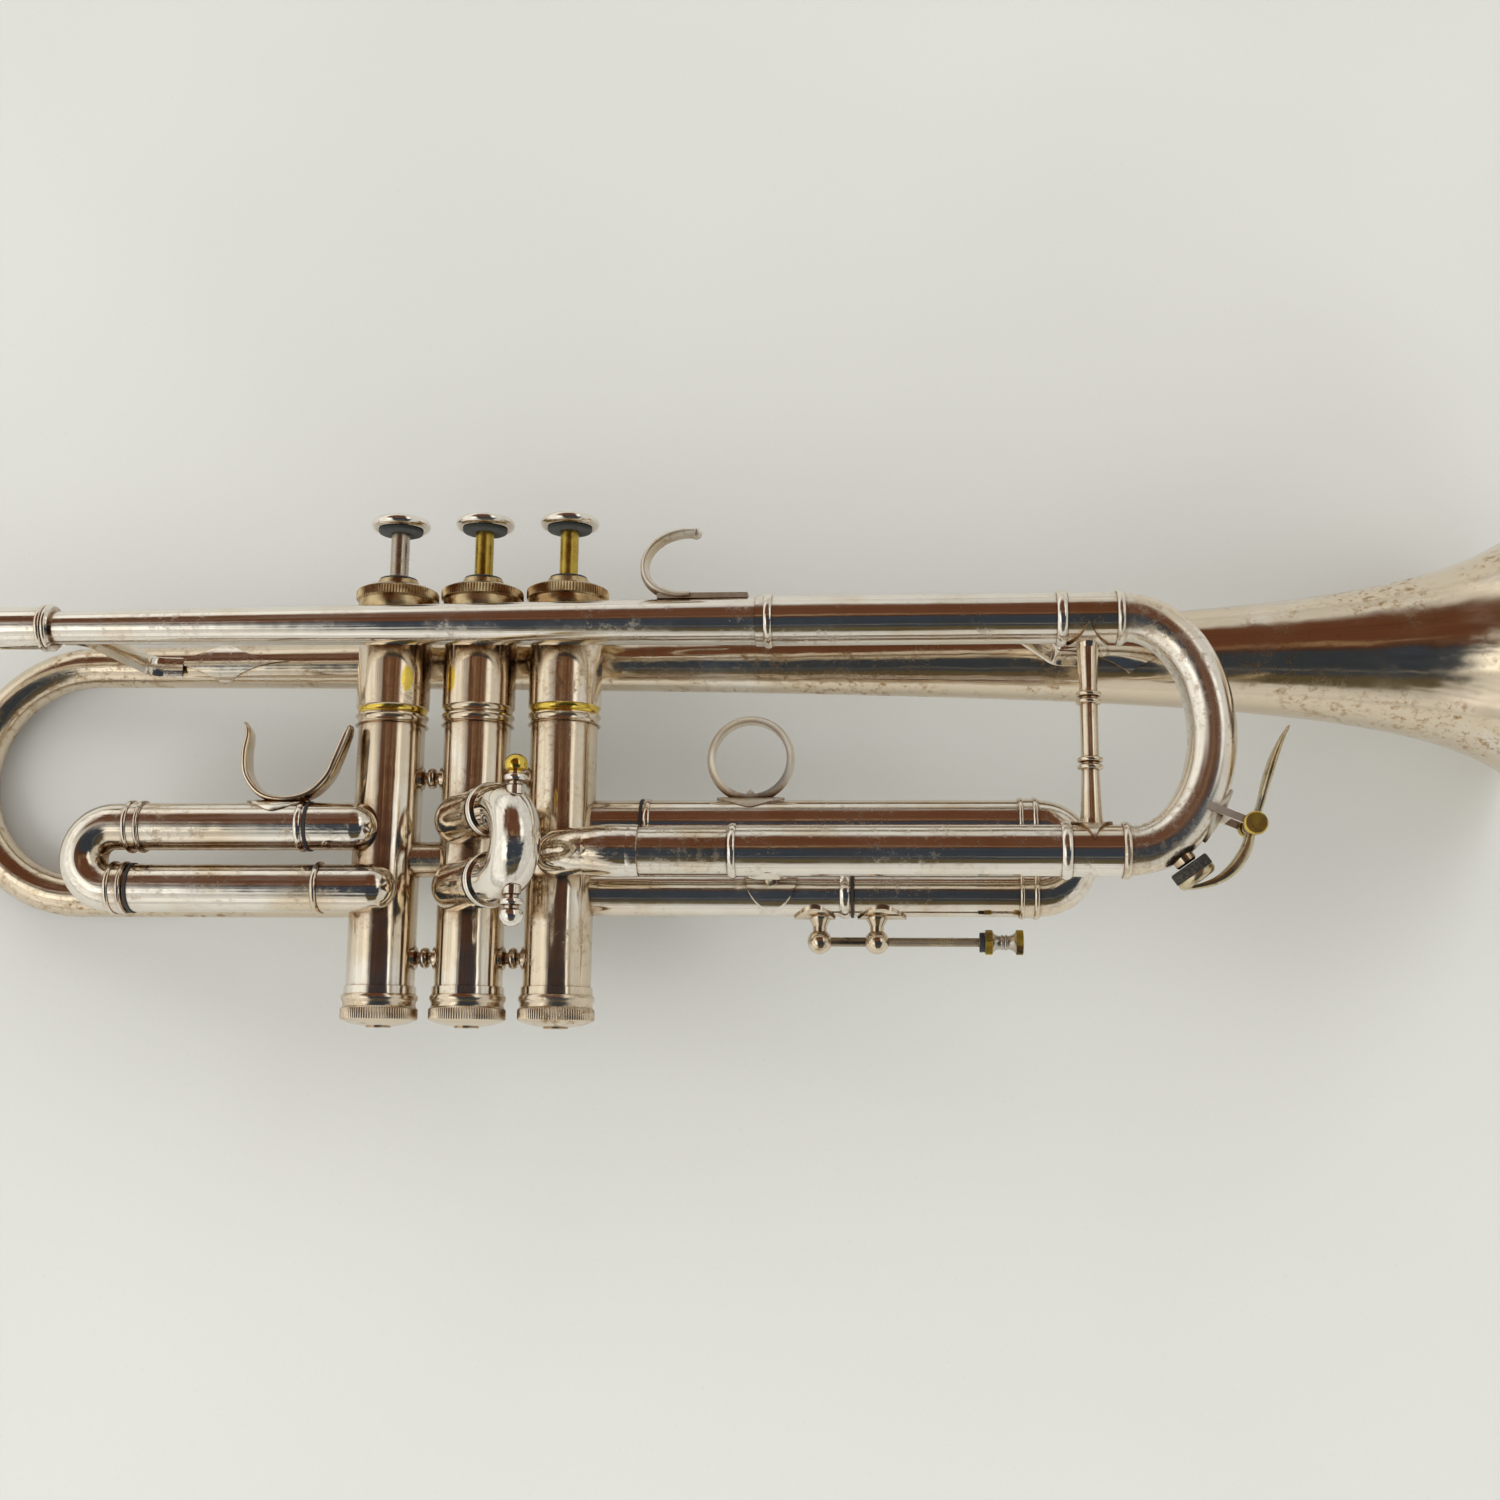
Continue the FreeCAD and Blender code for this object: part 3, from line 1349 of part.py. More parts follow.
# ---------------------------------------------------------------- braces and hook

def bell_brace(name, lead_x, foot_x, lead_dia):
    """A springy strap from the leadpipe's inner side down to a spear-shaped foot on the bell."""
    bell_x = foot_x - 21
    bell_top = number("bell_side") + bell_radius(bell_x)
    lead_bottom = number("lead_side") - lead_dia / 2
    spots = [
        Vector(lead_x - 5, -0.9, lead_bottom - 0.1),
        Vector(lead_x + 1.5, -1.2, lead_bottom - 0.5),
        Vector(bell_x, -4.8, bell_top + 1.0),
        Vector(bell_x + 9, -5.0, bell_top + 0.7),
    ]
    band = strap(name + "_band", route(name + "_path", spots, 5.0), 6.0, 1.3, UP)
    bell_spot = Vector(foot_x, number("bell_axis"), number("bell_side"))
    bell_dia = 2 * bell_radius(foot_x)
    lead_spot = at(lead_x + 2, 0, "lead_side")
    bell_foot = foot(name + "_bell_foot", 40, 13, 0.9, bell_dia, bell_spot, RIGHT, NEAR)
    lead_foot = foot(name + "_lead_foot", 15, 9, 0.8, lead_dia, lead_spot, RIGHT, FAR)
    return fuse(name + "_solid", [band, bell_foot, lead_foot])


def pinky_hook():
    """The little-finger hook on top of the leadpipe."""
    side = "lead_side"
    spots = [
        at(62, 7.3, side),
        at(55, 8.0, side),
        at(50.2, 11.6, side),
        at(49.3, 16.2, side),
        at(51.6, 21.2, side),
        at(57.0, 24.6, side),
        at(63.4, 25.2, side),
    ]
    band = strap("pinky_band", curve("pinky_path", spots), 6.2, 2.5, NEAR)
    tip = ball("pinky_tip", 3.4, at(63.4, 25.2, side))
    strip_middle = Placement(at(65.5, 6.9, side), Rotation())
    strip = block("pinky_strip", 25, 1.5, 5, strip_middle)
    whole = fuse("pinky_solid", [band, tip, strip])
    keep("pinky_hook", cut("pinky_seated", whole, leadpipe_cone("pinky_trim", 0)))


def third_slide_brace():
    """The post that holds the third slide's fixed tube to the tuning slide's fixed tube."""
    x = 84.0
    low = at(x, "third_lower", "third_side")
    high = at(x, "main_lower", "lead_side")
    along = (high - low).normalize()
    span = high.distanceToPoint(low)
    pads = []
    trims = []
    ends = (("low", low, along, "slide_tube_dia"), ("high", high, along * -1, "main_tube_dia"))
    for name, spot, out, dia in ends:
        disc = cylinder(f"slide_brace_disc_{name}", 14, f"({dia}) / 2 + 1", spot, out)
        skin = tube(f"slide_brace_skin_{name}", f"({dia}) + 1.6", dia, 30, spot - RIGHT * 15, RIGHT)
        pads.append(common(f"slide_brace_pad_{name}", disc, skin))
        trims.append(cylinder(f"slide_brace_trim_{name}", dia, 30, spot - RIGHT * 15, RIGHT))
    post = cylinder("slide_brace_post", 4, span, low, along)
    keep("third_slide_brace", fuse("slide_brace", [cut("slide_brace_cut", post, *trims)] + pads))


def braces():
    lead_dia = LEADPIPE_START_DIA + (LEADPIPE_END_DIA - LEADPIPE_START_DIA) * (28 / 229)
    rear = bell_brace("rear_brace", -112, -80, lead_dia)
    tools = [flare("rear_brace_bell", 0), leadpipe_cone("rear_brace_lead", 0)]
    keep("rear_bell_brace", cut("rear_brace", rear, *tools))
    front = bell_brace("front_brace", 150, 184, number("main_tube_dia"))
    tube_plug = cylinder("front_brace_tube", "main_tube_dia", 100, at(90, 0, "lead_side"), RIGHT)
    keep("front_bell_brace", cut("front_brace", front, flare("front_brace_bell", 0), tube_plug))


valves()
bell()
leadpipe()
mouthpiece()
main_slide_outers()
main_slide_legs()
main_slide_bow()
main_slide_brace()
valve_entry()
water_key()
first_slide_fixed()
first_slide_moving()
thumb_saddle()
third_slide_fixed()
third_slide_moving()
finger_ring()
stop_rod()
slide_bumpers()
second_slide()
pinky_hook()
third_slide_brace()
braces()

# ---------------------------------------------------------------- laying down and writing

doc.recompute()
laid_turn = Rotation(RIGHT, number("roll")) * Rotation(UP, number("pitch"))
laid = Placement(at("shift_along", "shift_across", "lift"), laid_turn)
for piece in subparts.values():
    piece.Placement = laid * piece.Placement
for label, piece in subparts.items():
    shape = piece.Shape
    failed = [word for word in piece.State if word in ("Invalid", "Error")]
    if failed or shape.isNull() or not shape.isValid():
        raise SystemExit(f"{label} did not build: {piece.State}")
    print(label, round(shape.Volume), shape.ShapeType, len(shape.Solids))
os.makedirs("parts", exist_ok=True)
for label, piece in subparts.items():
    piece.Shape.exportStep(f"parts/{label}.step")
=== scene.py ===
import json
import math

import bmesh
import bpy
from mathutils import Matrix, Vector


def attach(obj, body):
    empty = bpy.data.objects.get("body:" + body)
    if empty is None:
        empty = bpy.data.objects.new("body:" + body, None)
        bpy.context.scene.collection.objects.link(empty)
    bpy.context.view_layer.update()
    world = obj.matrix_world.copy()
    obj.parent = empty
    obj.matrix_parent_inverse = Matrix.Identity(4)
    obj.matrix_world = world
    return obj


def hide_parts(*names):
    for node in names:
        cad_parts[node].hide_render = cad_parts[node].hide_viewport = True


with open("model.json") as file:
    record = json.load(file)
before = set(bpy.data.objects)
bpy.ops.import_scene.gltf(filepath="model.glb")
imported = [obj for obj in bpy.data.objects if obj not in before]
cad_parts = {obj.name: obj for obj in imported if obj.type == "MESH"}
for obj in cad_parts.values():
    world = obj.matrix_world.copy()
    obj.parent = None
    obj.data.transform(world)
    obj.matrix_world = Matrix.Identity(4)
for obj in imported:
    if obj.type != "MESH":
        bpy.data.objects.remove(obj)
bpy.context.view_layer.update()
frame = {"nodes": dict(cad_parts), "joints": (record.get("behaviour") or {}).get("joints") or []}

# A silver-plated trumpet lying on its side on a pale table.
#
# The frame gives the instrument's own directions: RIGHT runs along the tubes to the bell mouth, UP
# along the valves to the finger buttons, and NEAR across them, to the leadpipe's side. Sizes of the
# small pieces are in millimetres, and place() turns them into the frame's metres.

MM = 0.001
joints = {joint["name"]: joint for joint in frame["joints"]}
RIGHT = Vector(joints["main_slide_pull"]["axis"]).normalized()
UP = -Vector(joints["valve_1_press"]["axis"]).normalized()
NEAR = RIGHT.cross(UP)


# ---------------------------------------------------------------- measuring the frame

def span(node, along):
    """The lowest and highest reach of a node's points along a direction, in metres."""
    reaches = [vertex.co.dot(along) for vertex in frame["nodes"][node].data.vertices]
    return min(reaches), max(reaches)


def middle(node, along):
    """Half way between a node's lowest and highest reach along a direction."""
    low, high = span(node, along)
    return (low + high) / 2


def spot(across, up, near):
    """A point from its reach along RIGHT, UP and NEAR, in metres."""
    return RIGHT * across + UP * up + NEAR * near


valve_across = [middle(f"valve_stem_{valve}", RIGHT) for valve in (1, 2, 3)]
valve_near = middle("valve_stem_2", NEAR)
lead_up = middle("main_slide_outer_upper", UP)
lead_near = middle("main_slide_outer_upper", NEAR)


def on_valve(valve, up):
    """A point on a valve's axis."""
    return spot(valve_across[valve - 1], up, valve_near)


def place(x, y, z):
    """A point in millimetres: x from valve 2, y above the leadpipe, z nearer than the valves."""
    return spot(valve_across[1] + x * MM, lead_up + y * MM, valve_near + z * MM)


def node_centre(node):
    """The middle of a node's box in the instrument's own directions."""
    return RIGHT * middle(node, RIGHT) + UP * middle(node, UP) + NEAR * middle(node, NEAR)


# millimetres, as place() takes them
valve_pitch = (valve_across[2] - valve_across[0]) / 2 / MM
valve_x = {1: -valve_pitch, 2: 0, 3: valve_pitch}
lead_side = (lead_near - valve_near) / MM


# ---------------------------------------------------------------- meshes

# how deep a straight knurl is at the four steps from one groove to the next, as a share
KNURL = (1, 0.35, 0, 0.35)


def finish_mesh(name, verts, faces, body, material, sharp=35):
    """A piece from its points and faces, riding on a body. Edges over sharp degrees stay crisp."""
    mesh = bpy.data.meshes.new(name)
    mesh.from_pydata(verts, [], faces)
    mesh.validate()
    shell = bmesh.new()
    shell.from_mesh(mesh)
    bmesh.ops.recalc_face_normals(shell, faces=shell.faces)
    shell.to_mesh(mesh)
    shell.free()
    mesh.shade_smooth()
    mesh.set_sharp_from_angle(angle=math.radians(sharp))
    piece = bpy.data.objects.new(name, mesh)
    bpy.context.scene.collection.objects.link(piece)
    mesh.materials.append(material)
    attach(piece, body)
    return piece


def tube_faces(ring_starts, steps):
    """The faces that join rings of points, and the caps on the first and last ring."""
    faces = []
    for low, high in zip(ring_starts, ring_starts[1:]):
        for step in range(steps):
            after = (step + 1) % steps
            faces.append([low + step, low + after, high + after, high + step])
    for start in (ring_starts[0], ring_starts[-1]):
        faces.append(list(range(start, start + steps)))
    return faces


def lathe(name, corners, base, along, body, material, ridges=0):
    """A turned piece. Corners are (radius, height) or (radius, height, knurl depth), in millimetres."""
    out = along.orthogonal().normalized()
    side = along.cross(out)
    steps = ridges * len(KNURL) if ridges else 64
    rows = []
    verts = []
    for corner in corners:
        radius, height = corner[:2]
        depth = corner[2] if len(corner) == 3 else 0
        centre = base + along * height * MM
        if radius == 0:
            rows.append([len(verts)] * steps)
            verts.append(centre)
            continue
        rows.append(list(range(len(verts), len(verts) + steps)))
        for step in range(steps):
            turn = 2 * math.pi * step / steps
            cut = depth * KNURL[step % len(KNURL)]
            reach = (radius - cut) * MM
            verts.append(centre + (out * math.cos(turn) + side * math.sin(turn)) * reach)
    if corners[0][0] and corners[-1][0]:
        rows.append(rows[0])
    faces = []
    for low, high in zip(rows, rows[1:]):
        for step in range(steps):
            after = (step + 1) % steps
            ring = [low[step], low[after], high[after], high[step]]
            face = [vert for index, vert in enumerate(ring) if vert != ring[index - 1]]
            if len(face) > 2:
                faces.append(face)
    return finish_mesh(name, verts, faces, body, material)


def bulge(start, end, rise, count=6):
    """The points between two corners of an outline that bulges out to its right by rise."""
    across = Vector(end) - Vector(start)
    out = Vector((across.y, -across.x)).normalized()
    points = []
    for step in range(1, count):
        share = step / count
        point = Vector(start) + across * share + out * rise * 4 * share * (1 - share)
        points.append(tuple(point))
    return points


# ---------------------------------------------------------------- shader building blocks

class NodeTree:
    """Nodes being put together, with patterns that lie in one of Blender's coordinate spaces."""

    def __init__(self, tree, space):
        self.nodes = tree.nodes
        self.links = tree.links
        self.place = self.nodes.new("ShaderNodeTexCoord").outputs[space]

    def put(self, socket, value):
        """Gives a socket another node's output, or a plain value."""
        if hasattr(value, "is_linked"):
            self.links.new(value, socket)
        else:
            socket.default_value = value

    def noise(self, scale, detail=4, roughness=0.55, stretch=(1, 1, 1), seed=0.0):
        """Clouds of noise, moved to another place by the seed."""
        mapping = self.nodes.new("ShaderNodeMapping")
        mapping.inputs["Scale"].default_value = stretch
        mapping.inputs["Location"].default_value = (seed, seed * 0.7, seed * 1.3)
        texture = self.nodes.new("ShaderNodeTexNoise")
        texture.inputs["Scale"].default_value = scale
        texture.inputs["Detail"].default_value = detail
        texture.inputs["Roughness"].default_value = roughness
        self.links.new(self.place, mapping.inputs["Vector"])
        self.links.new(mapping.outputs["Vector"], texture.inputs["Vector"])
        return texture.outputs["Fac"]

    def step(self, value, low, high, to_low=0.0, to_high=1.0, kind="SMOOTHSTEP"):
        """Carries value from low..high over to to_low..to_high, in a curve unless kind is LINEAR."""
        node = self.nodes.new("ShaderNodeMapRange")
        node.interpolation_type = kind
        self.put(node.inputs["Value"], value)
        limits = {"From Min": low, "From Max": high, "To Min": to_low, "To Max": to_high}
        for name, limit in limits.items():
            node.inputs[name].default_value = limit
        return node.outputs["Result"]

    def sum(self, kind, first, second):
        """The result of a Math node of this kind."""
        node = self.nodes.new("ShaderNodeMath")
        node.operation = kind
        self.put(node.inputs[0], first)
        self.put(node.inputs[1], second)
        return node.outputs["Value"]

    def mix(self, share, first, second):
        """From the first colour to the second as share goes from 0 to 1."""
        node = self.nodes.new("ShaderNodeMix")
        node.data_type = "RGBA"
        colours = [socket for socket in node.inputs if socket.type == "RGBA"]
        self.put(node.inputs["Factor"], share)
        for socket, colour in zip(colours, (first, second)):
            self.put(socket, colour if hasattr(colour, "is_linked") else (*colour, 1))
        return [socket for socket in node.outputs if socket.type == "RGBA"][0]


class Shader(NodeTree):
    """A material being built from nodes, in the object's own coordinates."""

    def __init__(self, name):
        self.material = bpy.data.materials.new(name)
        self.material.use_nodes = True
        super().__init__(self.material.node_tree, "Object")
        self.surface = self.nodes["Principled BSDF"]

    def set(self, **values):
        """Sets the surface's own sockets, with _ for the spaces in their names."""
        for name, value in values.items():
            self.put(self.surface.inputs[name.replace("_", " ")], value)

    def reach(self, along):
        """How far the surface lies along a direction."""
        node = self.nodes.new("ShaderNodeVectorMath")
        node.operation = "DOT_PRODUCT"
        self.links.new(self.place, node.inputs[0])
        node.inputs[1].default_value = along
        return node.outputs["Value"]

    def distance(self, centre, stretch=(1, 1, 1)):
        """How far the surface lies from a point, measured in an oval way if stretched."""
        away = self.nodes.new("ShaderNodeVectorMath")
        away.operation = "SUBTRACT"
        self.links.new(self.place, away.inputs[0])
        away.inputs[1].default_value = centre
        parts = []
        for along, factor in zip((RIGHT, UP, NEAR), stretch):
            dot = self.nodes.new("ShaderNodeVectorMath")
            dot.operation = "DOT_PRODUCT"
            self.links.new(away.outputs["Vector"], dot.inputs[0])
            dot.inputs[1].default_value = along * factor
            parts.append(self.sum("POWER", self.sum("ABSOLUTE", dot.outputs["Value"], 0), 2))
        total = self.sum("ADD", self.sum("ADD", parts[0], parts[1]), parts[2])
        return self.sum("SQRT", total, 0)

    def corners(self, reach):
        """How open the surface is, from 0 deep in a corner to 1 out in the open."""
        node = self.nodes.new("ShaderNodeAmbientOcclusion")
        node.samples = 6
        node.inputs["Distance"].default_value = reach
        return node.outputs["AO"]

    def bump(self, height, strength, distance):
        """Raises the surface by height, up to distance metres."""
        node = self.nodes.new("ShaderNodeBump")
        node.inputs["Strength"].default_value = strength
        node.inputs["Distance"].default_value = distance
        self.links.new(height, node.inputs["Height"])
        self.links.new(node.outputs["Normal"], self.surface.inputs["Normal"])


# ---------------------------------------------------------------- materials

CLEAN_SILVER = (0.86, 0.81, 0.73)
WARM_SILVER = (0.76, 0.65, 0.50)
TARNISH = (0.42, 0.27, 0.13)
PINK_SILVER = (0.74, 0.62, 0.56)
CORNER_TARNISH = (0.28, 0.145, 0.045)
YELLOW_BRASS = (0.74, 0.54, 0.10)
DULL_BRASS = (0.46, 0.34, 0.17)


def silver(name, warmth=0.35, spots=0.25, rubbed=(), seed=0.0, dullness=0.07):
    """Worn silver plate: warm clouds, brown spots, tarnish in the corners, and bare brass.

    rubbed lists (distance builder, size) pairs: each gives a place where the plate is rubbed off.
    """
    shader = Shader(name)
    clouds = shader.noise(38, detail=5, seed=seed)
    warm = shader.step(clouds, 0.62 - warmth * 0.5, 0.86 - warmth * 0.5)
    colour = shader.mix(warm, CLEAN_SILVER, WARM_SILVER)
    blush = shader.noise(90, detail=4, seed=seed + 17)
    colour = shader.mix(shader.step(blush, 0.52, 0.72, 0, 0.35), colour, PINK_SILVER)
    freckles = shader.noise(420, detail=8, roughness=0.75, seed=seed + 3)
    patches = shader.noise(42, detail=4, seed=seed + 7)
    freckles_there = shader.step(patches, 0.44, 0.62)
    marks = shader.sum("MULTIPLY", shader.step(freckles, 0.48, 0.64), freckles_there)
    colour = shader.mix(shader.sum("MULTIPLY", marks, min(1, spots * 1.6)), colour, TARNISH)
    open_air = shader.sum("ADD", shader.corners(0.006), shader.step(freckles, 0.3, 0.7, -0.14, 0.14))
    dirt = shader.step(open_air, 0.40, 0.95, 0.92, 0)
    colour = shader.mix(dirt, colour, CORNER_TARNISH)
    bare = None
    for away, size in rubbed:
        ragged = shader.sum("ADD", away(shader), shader.sum("MULTIPLY", freckles, size * 0.8))
        worn = shader.step(ragged, size * 1.25, size * 1.45, 1, 0)
        bare = worn if bare is None else shader.sum("MAXIMUM", bare, worn)
    if rubbed:
        colour = shader.mix(bare, colour, YELLOW_BRASS)
    scratches = shader.noise(900, detail=2, stretch=(0.25, 1, 1), seed=seed + 11)
    haze = shader.noise(70, detail=6, seed=seed + 5)
    rough = shader.step(haze, 0.35, 0.75, dullness, dullness + 0.10)
    rough = shader.sum("ADD", rough, shader.sum("MULTIPLY", marks, 0.25))
    rough = shader.sum("ADD", rough, shader.sum("MULTIPLY", dirt, 0.12))
    rough = shader.sum("ADD", rough, shader.step(scratches, 0.58, 0.72, 0.0, 0.05))
    shader.set(Base_Color=colour, Metallic=1.0, Roughness=rough)
    waves = shader.noise(75, detail=2, seed=seed + 13)
    shader.bump(waves, 0.22, 0.0006)
    return shader.material


def brass(name, colour=DULL_BRASS, bright=YELLOW_BRASS, dullness=0.30, seed=0.0):
    """Bare or nearly bare brass with brown staining."""
    shader = Shader(name)
    clouds = shader.noise(160, detail=6, seed=seed)
    tint = shader.mix(shader.step(clouds, 0.38, 0.62), colour, bright)
    stains = shader.noise(420, detail=5, seed=seed + 4)
    tint = shader.mix(shader.step(stains, 0.56, 0.72, 0, 0.7), tint, (0.20, 0.13, 0.06))
    rough = shader.step(clouds, 0.3, 0.7, dullness - 0.08, dullness + 0.12)
    shader.set(Base_Color=tint, Metallic=1.0, Roughness=rough)
    shader.bump(stains, 0.2, 0.0002)
    return shader.material


def grey_metal(name, colour=(0.55, 0.52, 0.48), seed=0.0):
    """Nickel or steel with faint turning marks."""
    shader = Shader(name)
    marks = shader.noise(700, detail=3, stretch=(0.3, 1, 0.3), seed=seed)
    stains = shader.noise(130, detail=4, seed=seed + 2)
    tint = shader.mix(shader.step(stains, 0.45, 0.7), colour, (0.47, 0.38, 0.26))
    shader.set(Base_Color=tint, Metallic=1.0, Roughness=shader.step(marks, 0.3, 0.7, 0.18, 0.34))
    return shader.material


def rubber(name):
    """Black rubber with a fine grain."""
    shader = Shader(name)
    grain = shader.noise(1800, detail=3)
    shader.set(Base_Color=shader.mix(grain, (0.012, 0.012, 0.013), (0.03, 0.03, 0.03)), Roughness=0.55)
    shader.bump(grain, 0.2, 0.0001)
    return shader.material


def cork(name):
    """Dark, oil-soaked cork."""
    shader = Shader(name)
    cells = shader.noise(1500, detail=4)
    tint = shader.mix(shader.step(cells, 0.4, 0.65), (0.018, 0.017, 0.016), (0.055, 0.045, 0.038))
    shader.set(Base_Color=tint, Roughness=0.85)
    shader.bump(cells, 0.6, 0.0003)
    return shader.material


def felt(name):
    """Black felt with loose fibres."""
    shader = Shader(name)
    fibres = shader.noise(2600, detail=6, roughness=0.8)
    tint = shader.mix(fibres, (0.010, 0.012, 0.011), (0.045, 0.05, 0.045))
    shader.set(Base_Color=tint, Roughness=0.95, Sheen_Weight=0.25)
    shader.bump(fibres, 0.8, 0.0003)
    return shader.material


def pearl(name):
    """Mother of pearl: pale, faintly pink and green in curved layers."""
    shader = Shader(name)
    layers = shader.noise(220, detail=3, stretch=(1, 0.4, 1))
    tint = shader.mix(shader.step(layers, 0.3, 0.7), (0.82, 0.78, 0.72), (0.62, 0.70, 0.66))
    blush = shader.noise(420, detail=2, seed=5)
    tint = shader.mix(shader.step(blush, 0.5, 0.7, 0, 0.5), tint, (0.85, 0.66, 0.64))
    shader.set(Base_Color=tint, Roughness=0.22, Coat_Weight=0.6, Coat_Roughness=0.08)
    return shader.material


def table_top(name):
    """Pale laminate with a fine grain and a few faint marks."""
    shader = Shader(name)
    grain = shader.noise(900, detail=2)
    drift = shader.noise(2.2, detail=3)
    tint = shader.mix(shader.step(drift, 0.35, 0.65), (0.66, 0.67, 0.65), (0.71, 0.72, 0.70))
    tint = shader.mix(shader.step(grain, 0.62, 0.74, 0, 0.12), tint, (0.46, 0.46, 0.44))
    shader.set(Base_Color=tint, Roughness=0.45, Specular_IOR_Level=0.3)
    shader.bump(grain, 0.12, 0.0002)
    return shader.material


CASING_RADIUS = 10.3
PATCH_STRETCH = (1.5, 0.62, 1.0)


def worn_patch(valve, sideways, up):
    """Where a hand has rubbed the plate off a valve casing: a tall oval on its near side."""
    turn = math.radians(sideways)
    out = (RIGHT * math.sin(turn) + NEAR * math.cos(turn)) * CASING_RADIUS * MM
    centre = on_valve(valve, lead_up + up * MM) + out
    return lambda shader: shader.distance(centre, PATCH_STRETCH)


def worn_ring(up):
    """Where the plate has gone from the ring beads round a casing."""
    height = lead_up + up * MM

    def away(shader):
        return shader.sum("ABSOLUTE", shader.sum("SUBTRACT", shader.reach(UP), height), 0)

    return away


def upper_knob(shader):
    """The plate is worn off the second slide's upper knob."""
    knobs = "second_slide_knobs"
    tip = node_centre(knobs) + UP * (span(knobs, UP)[1] - middle(knobs, UP))
    return shader.distance(tip)


def casing_silver(valve):
    """A valve casing's plate, with its own bare places."""
    places = {
        1: [(worn_patch(1, 36, -13.2), 0.0024), (worn_ring(-21.7), 0.0009)],
        2: [(worn_patch(2, -38, -13.4), 0.0026)],
        3: [(worn_ring(-21.8), 0.0013)],
    }
    bare = places[valve]
    return silver(f"casing_plate_{valve}", warmth=0.62, spots=0.35, rubbed=bare, seed=valve * 9.0)


tube_plate = silver("tube_plate", warmth=0.30, spots=0.15)
slide_plate = silver("slide_plate", warmth=0.42, spots=0.30, seed=21)
bell_plate = silver("bell_plate", warmth=0.80, spots=0.65, seed=33, dullness=0.09)
warm_plate = silver("warm_plate", warmth=0.80, spots=0.60, seed=45)
bow_plate = silver("bow_plate", warmth=0.35, spots=0.30, seed=63, dullness=0.17)
cap_plate = silver("cap_plate", warmth=0.95, spots=0.75, seed=81, dullness=0.16)
saddle_plate = silver("saddle_plate", warmth=0.85, spots=0.8, seed=71)
ring_plate = silver("ring_plate", warmth=0.40, spots=0.30, seed=87, dullness=0.42)
bright_plate = silver("bright_plate", warmth=0.10, spots=0.05, seed=57, dullness=0.05)
knob_plate = silver("knob_plate", warmth=0.10, spots=0.05, rubbed=[(upper_knob, 0.006)], seed=57)
old_brass = brass("old_brass", dullness=0.32)
cap_brass = brass("cap_brass", (0.36, 0.22, 0.10), (0.66, 0.52, 0.30), 0.26, seed=6)
rod_steel = grey_metal("rod_steel", (0.34, 0.28, 0.20), seed=12)
key_brass = brass("key_brass", (0.50, 0.41, 0.25), (0.66, 0.56, 0.38), 0.24, seed=8)
stem_brass = brass("stem_brass", (0.38, 0.25, 0.04), (0.55, 0.39, 0.08), 0.28, seed=9)
nickel = grey_metal("nickel")
stem_nickel = grey_metal("stem_nickel", (0.46, 0.40, 0.34), seed=4)
spring_steel = grey_metal("spring_steel", (0.42, 0.41, 0.40), seed=7)
black_rubber = rubber("black_rubber")
dark_cork = cork("dark_cork")
black_felt = felt("black_felt")
button_pearl = pearl("button_pearl")

# the coat of each CAD node that shows, if it isn't slide_plate
COATS = {
    "bell": bell_plate,
    "leadpipe": tube_plate,
    "mouthpiece_receiver": tube_plate,
    "main_slide_outer_upper": tube_plate,
    "main_slide_outer_lower": tube_plate,
    "main_slide_bow": bow_plate,
    "mouthpiece": bright_plate,
    "second_slide_crook": bright_plate,
    "second_slide_sockets": warm_plate,
    "finger_button_1": bright_plate,
    "finger_button_2": bright_plate,
    "finger_button_3": bright_plate,
    "valve_casing_1": casing_silver(1),
    "valve_casing_2": casing_silver(2),
    "valve_casing_3": casing_silver(3),
    "crossover_tubes": warm_plate,
    "valve_braces": warm_plate,
    "valve_guides": old_brass,
    "valve_stem_1": stem_nickel,
    "valve_stem_2": stem_brass,
    "valve_stem_3": stem_brass,
    "water_key_saddle": ring_plate,
    "water_key_screw": old_brass,
    "water_key_nipple": warm_plate,
    "water_key_spring": old_brass,
    "stop_rod_post": warm_plate,
    "stop_rod_guide": warm_plate,
    "slide_bumpers": black_rubber,
    "pinky_hook": ring_plate,
    "second_slide_knobs": knob_plate,
}
for valve in (1, 2, 3):
    COATS[f"piston_{valve}"] = nickel
    COATS[f"valve_spring_{valve}"] = spring_steel
for name, node in frame["nodes"].items():
    coat = COATS.get(name, slide_plate)
    for holder in node.material_slots:
        holder.material = coat


# ---------------------------------------------------------------- caps and buttons

# heights above the leadpipe where these pieces start
TOP_CAP_UP = 1.6
BOTTOM_CAP_UP = -101.4
BUTTON_UP = 31.6


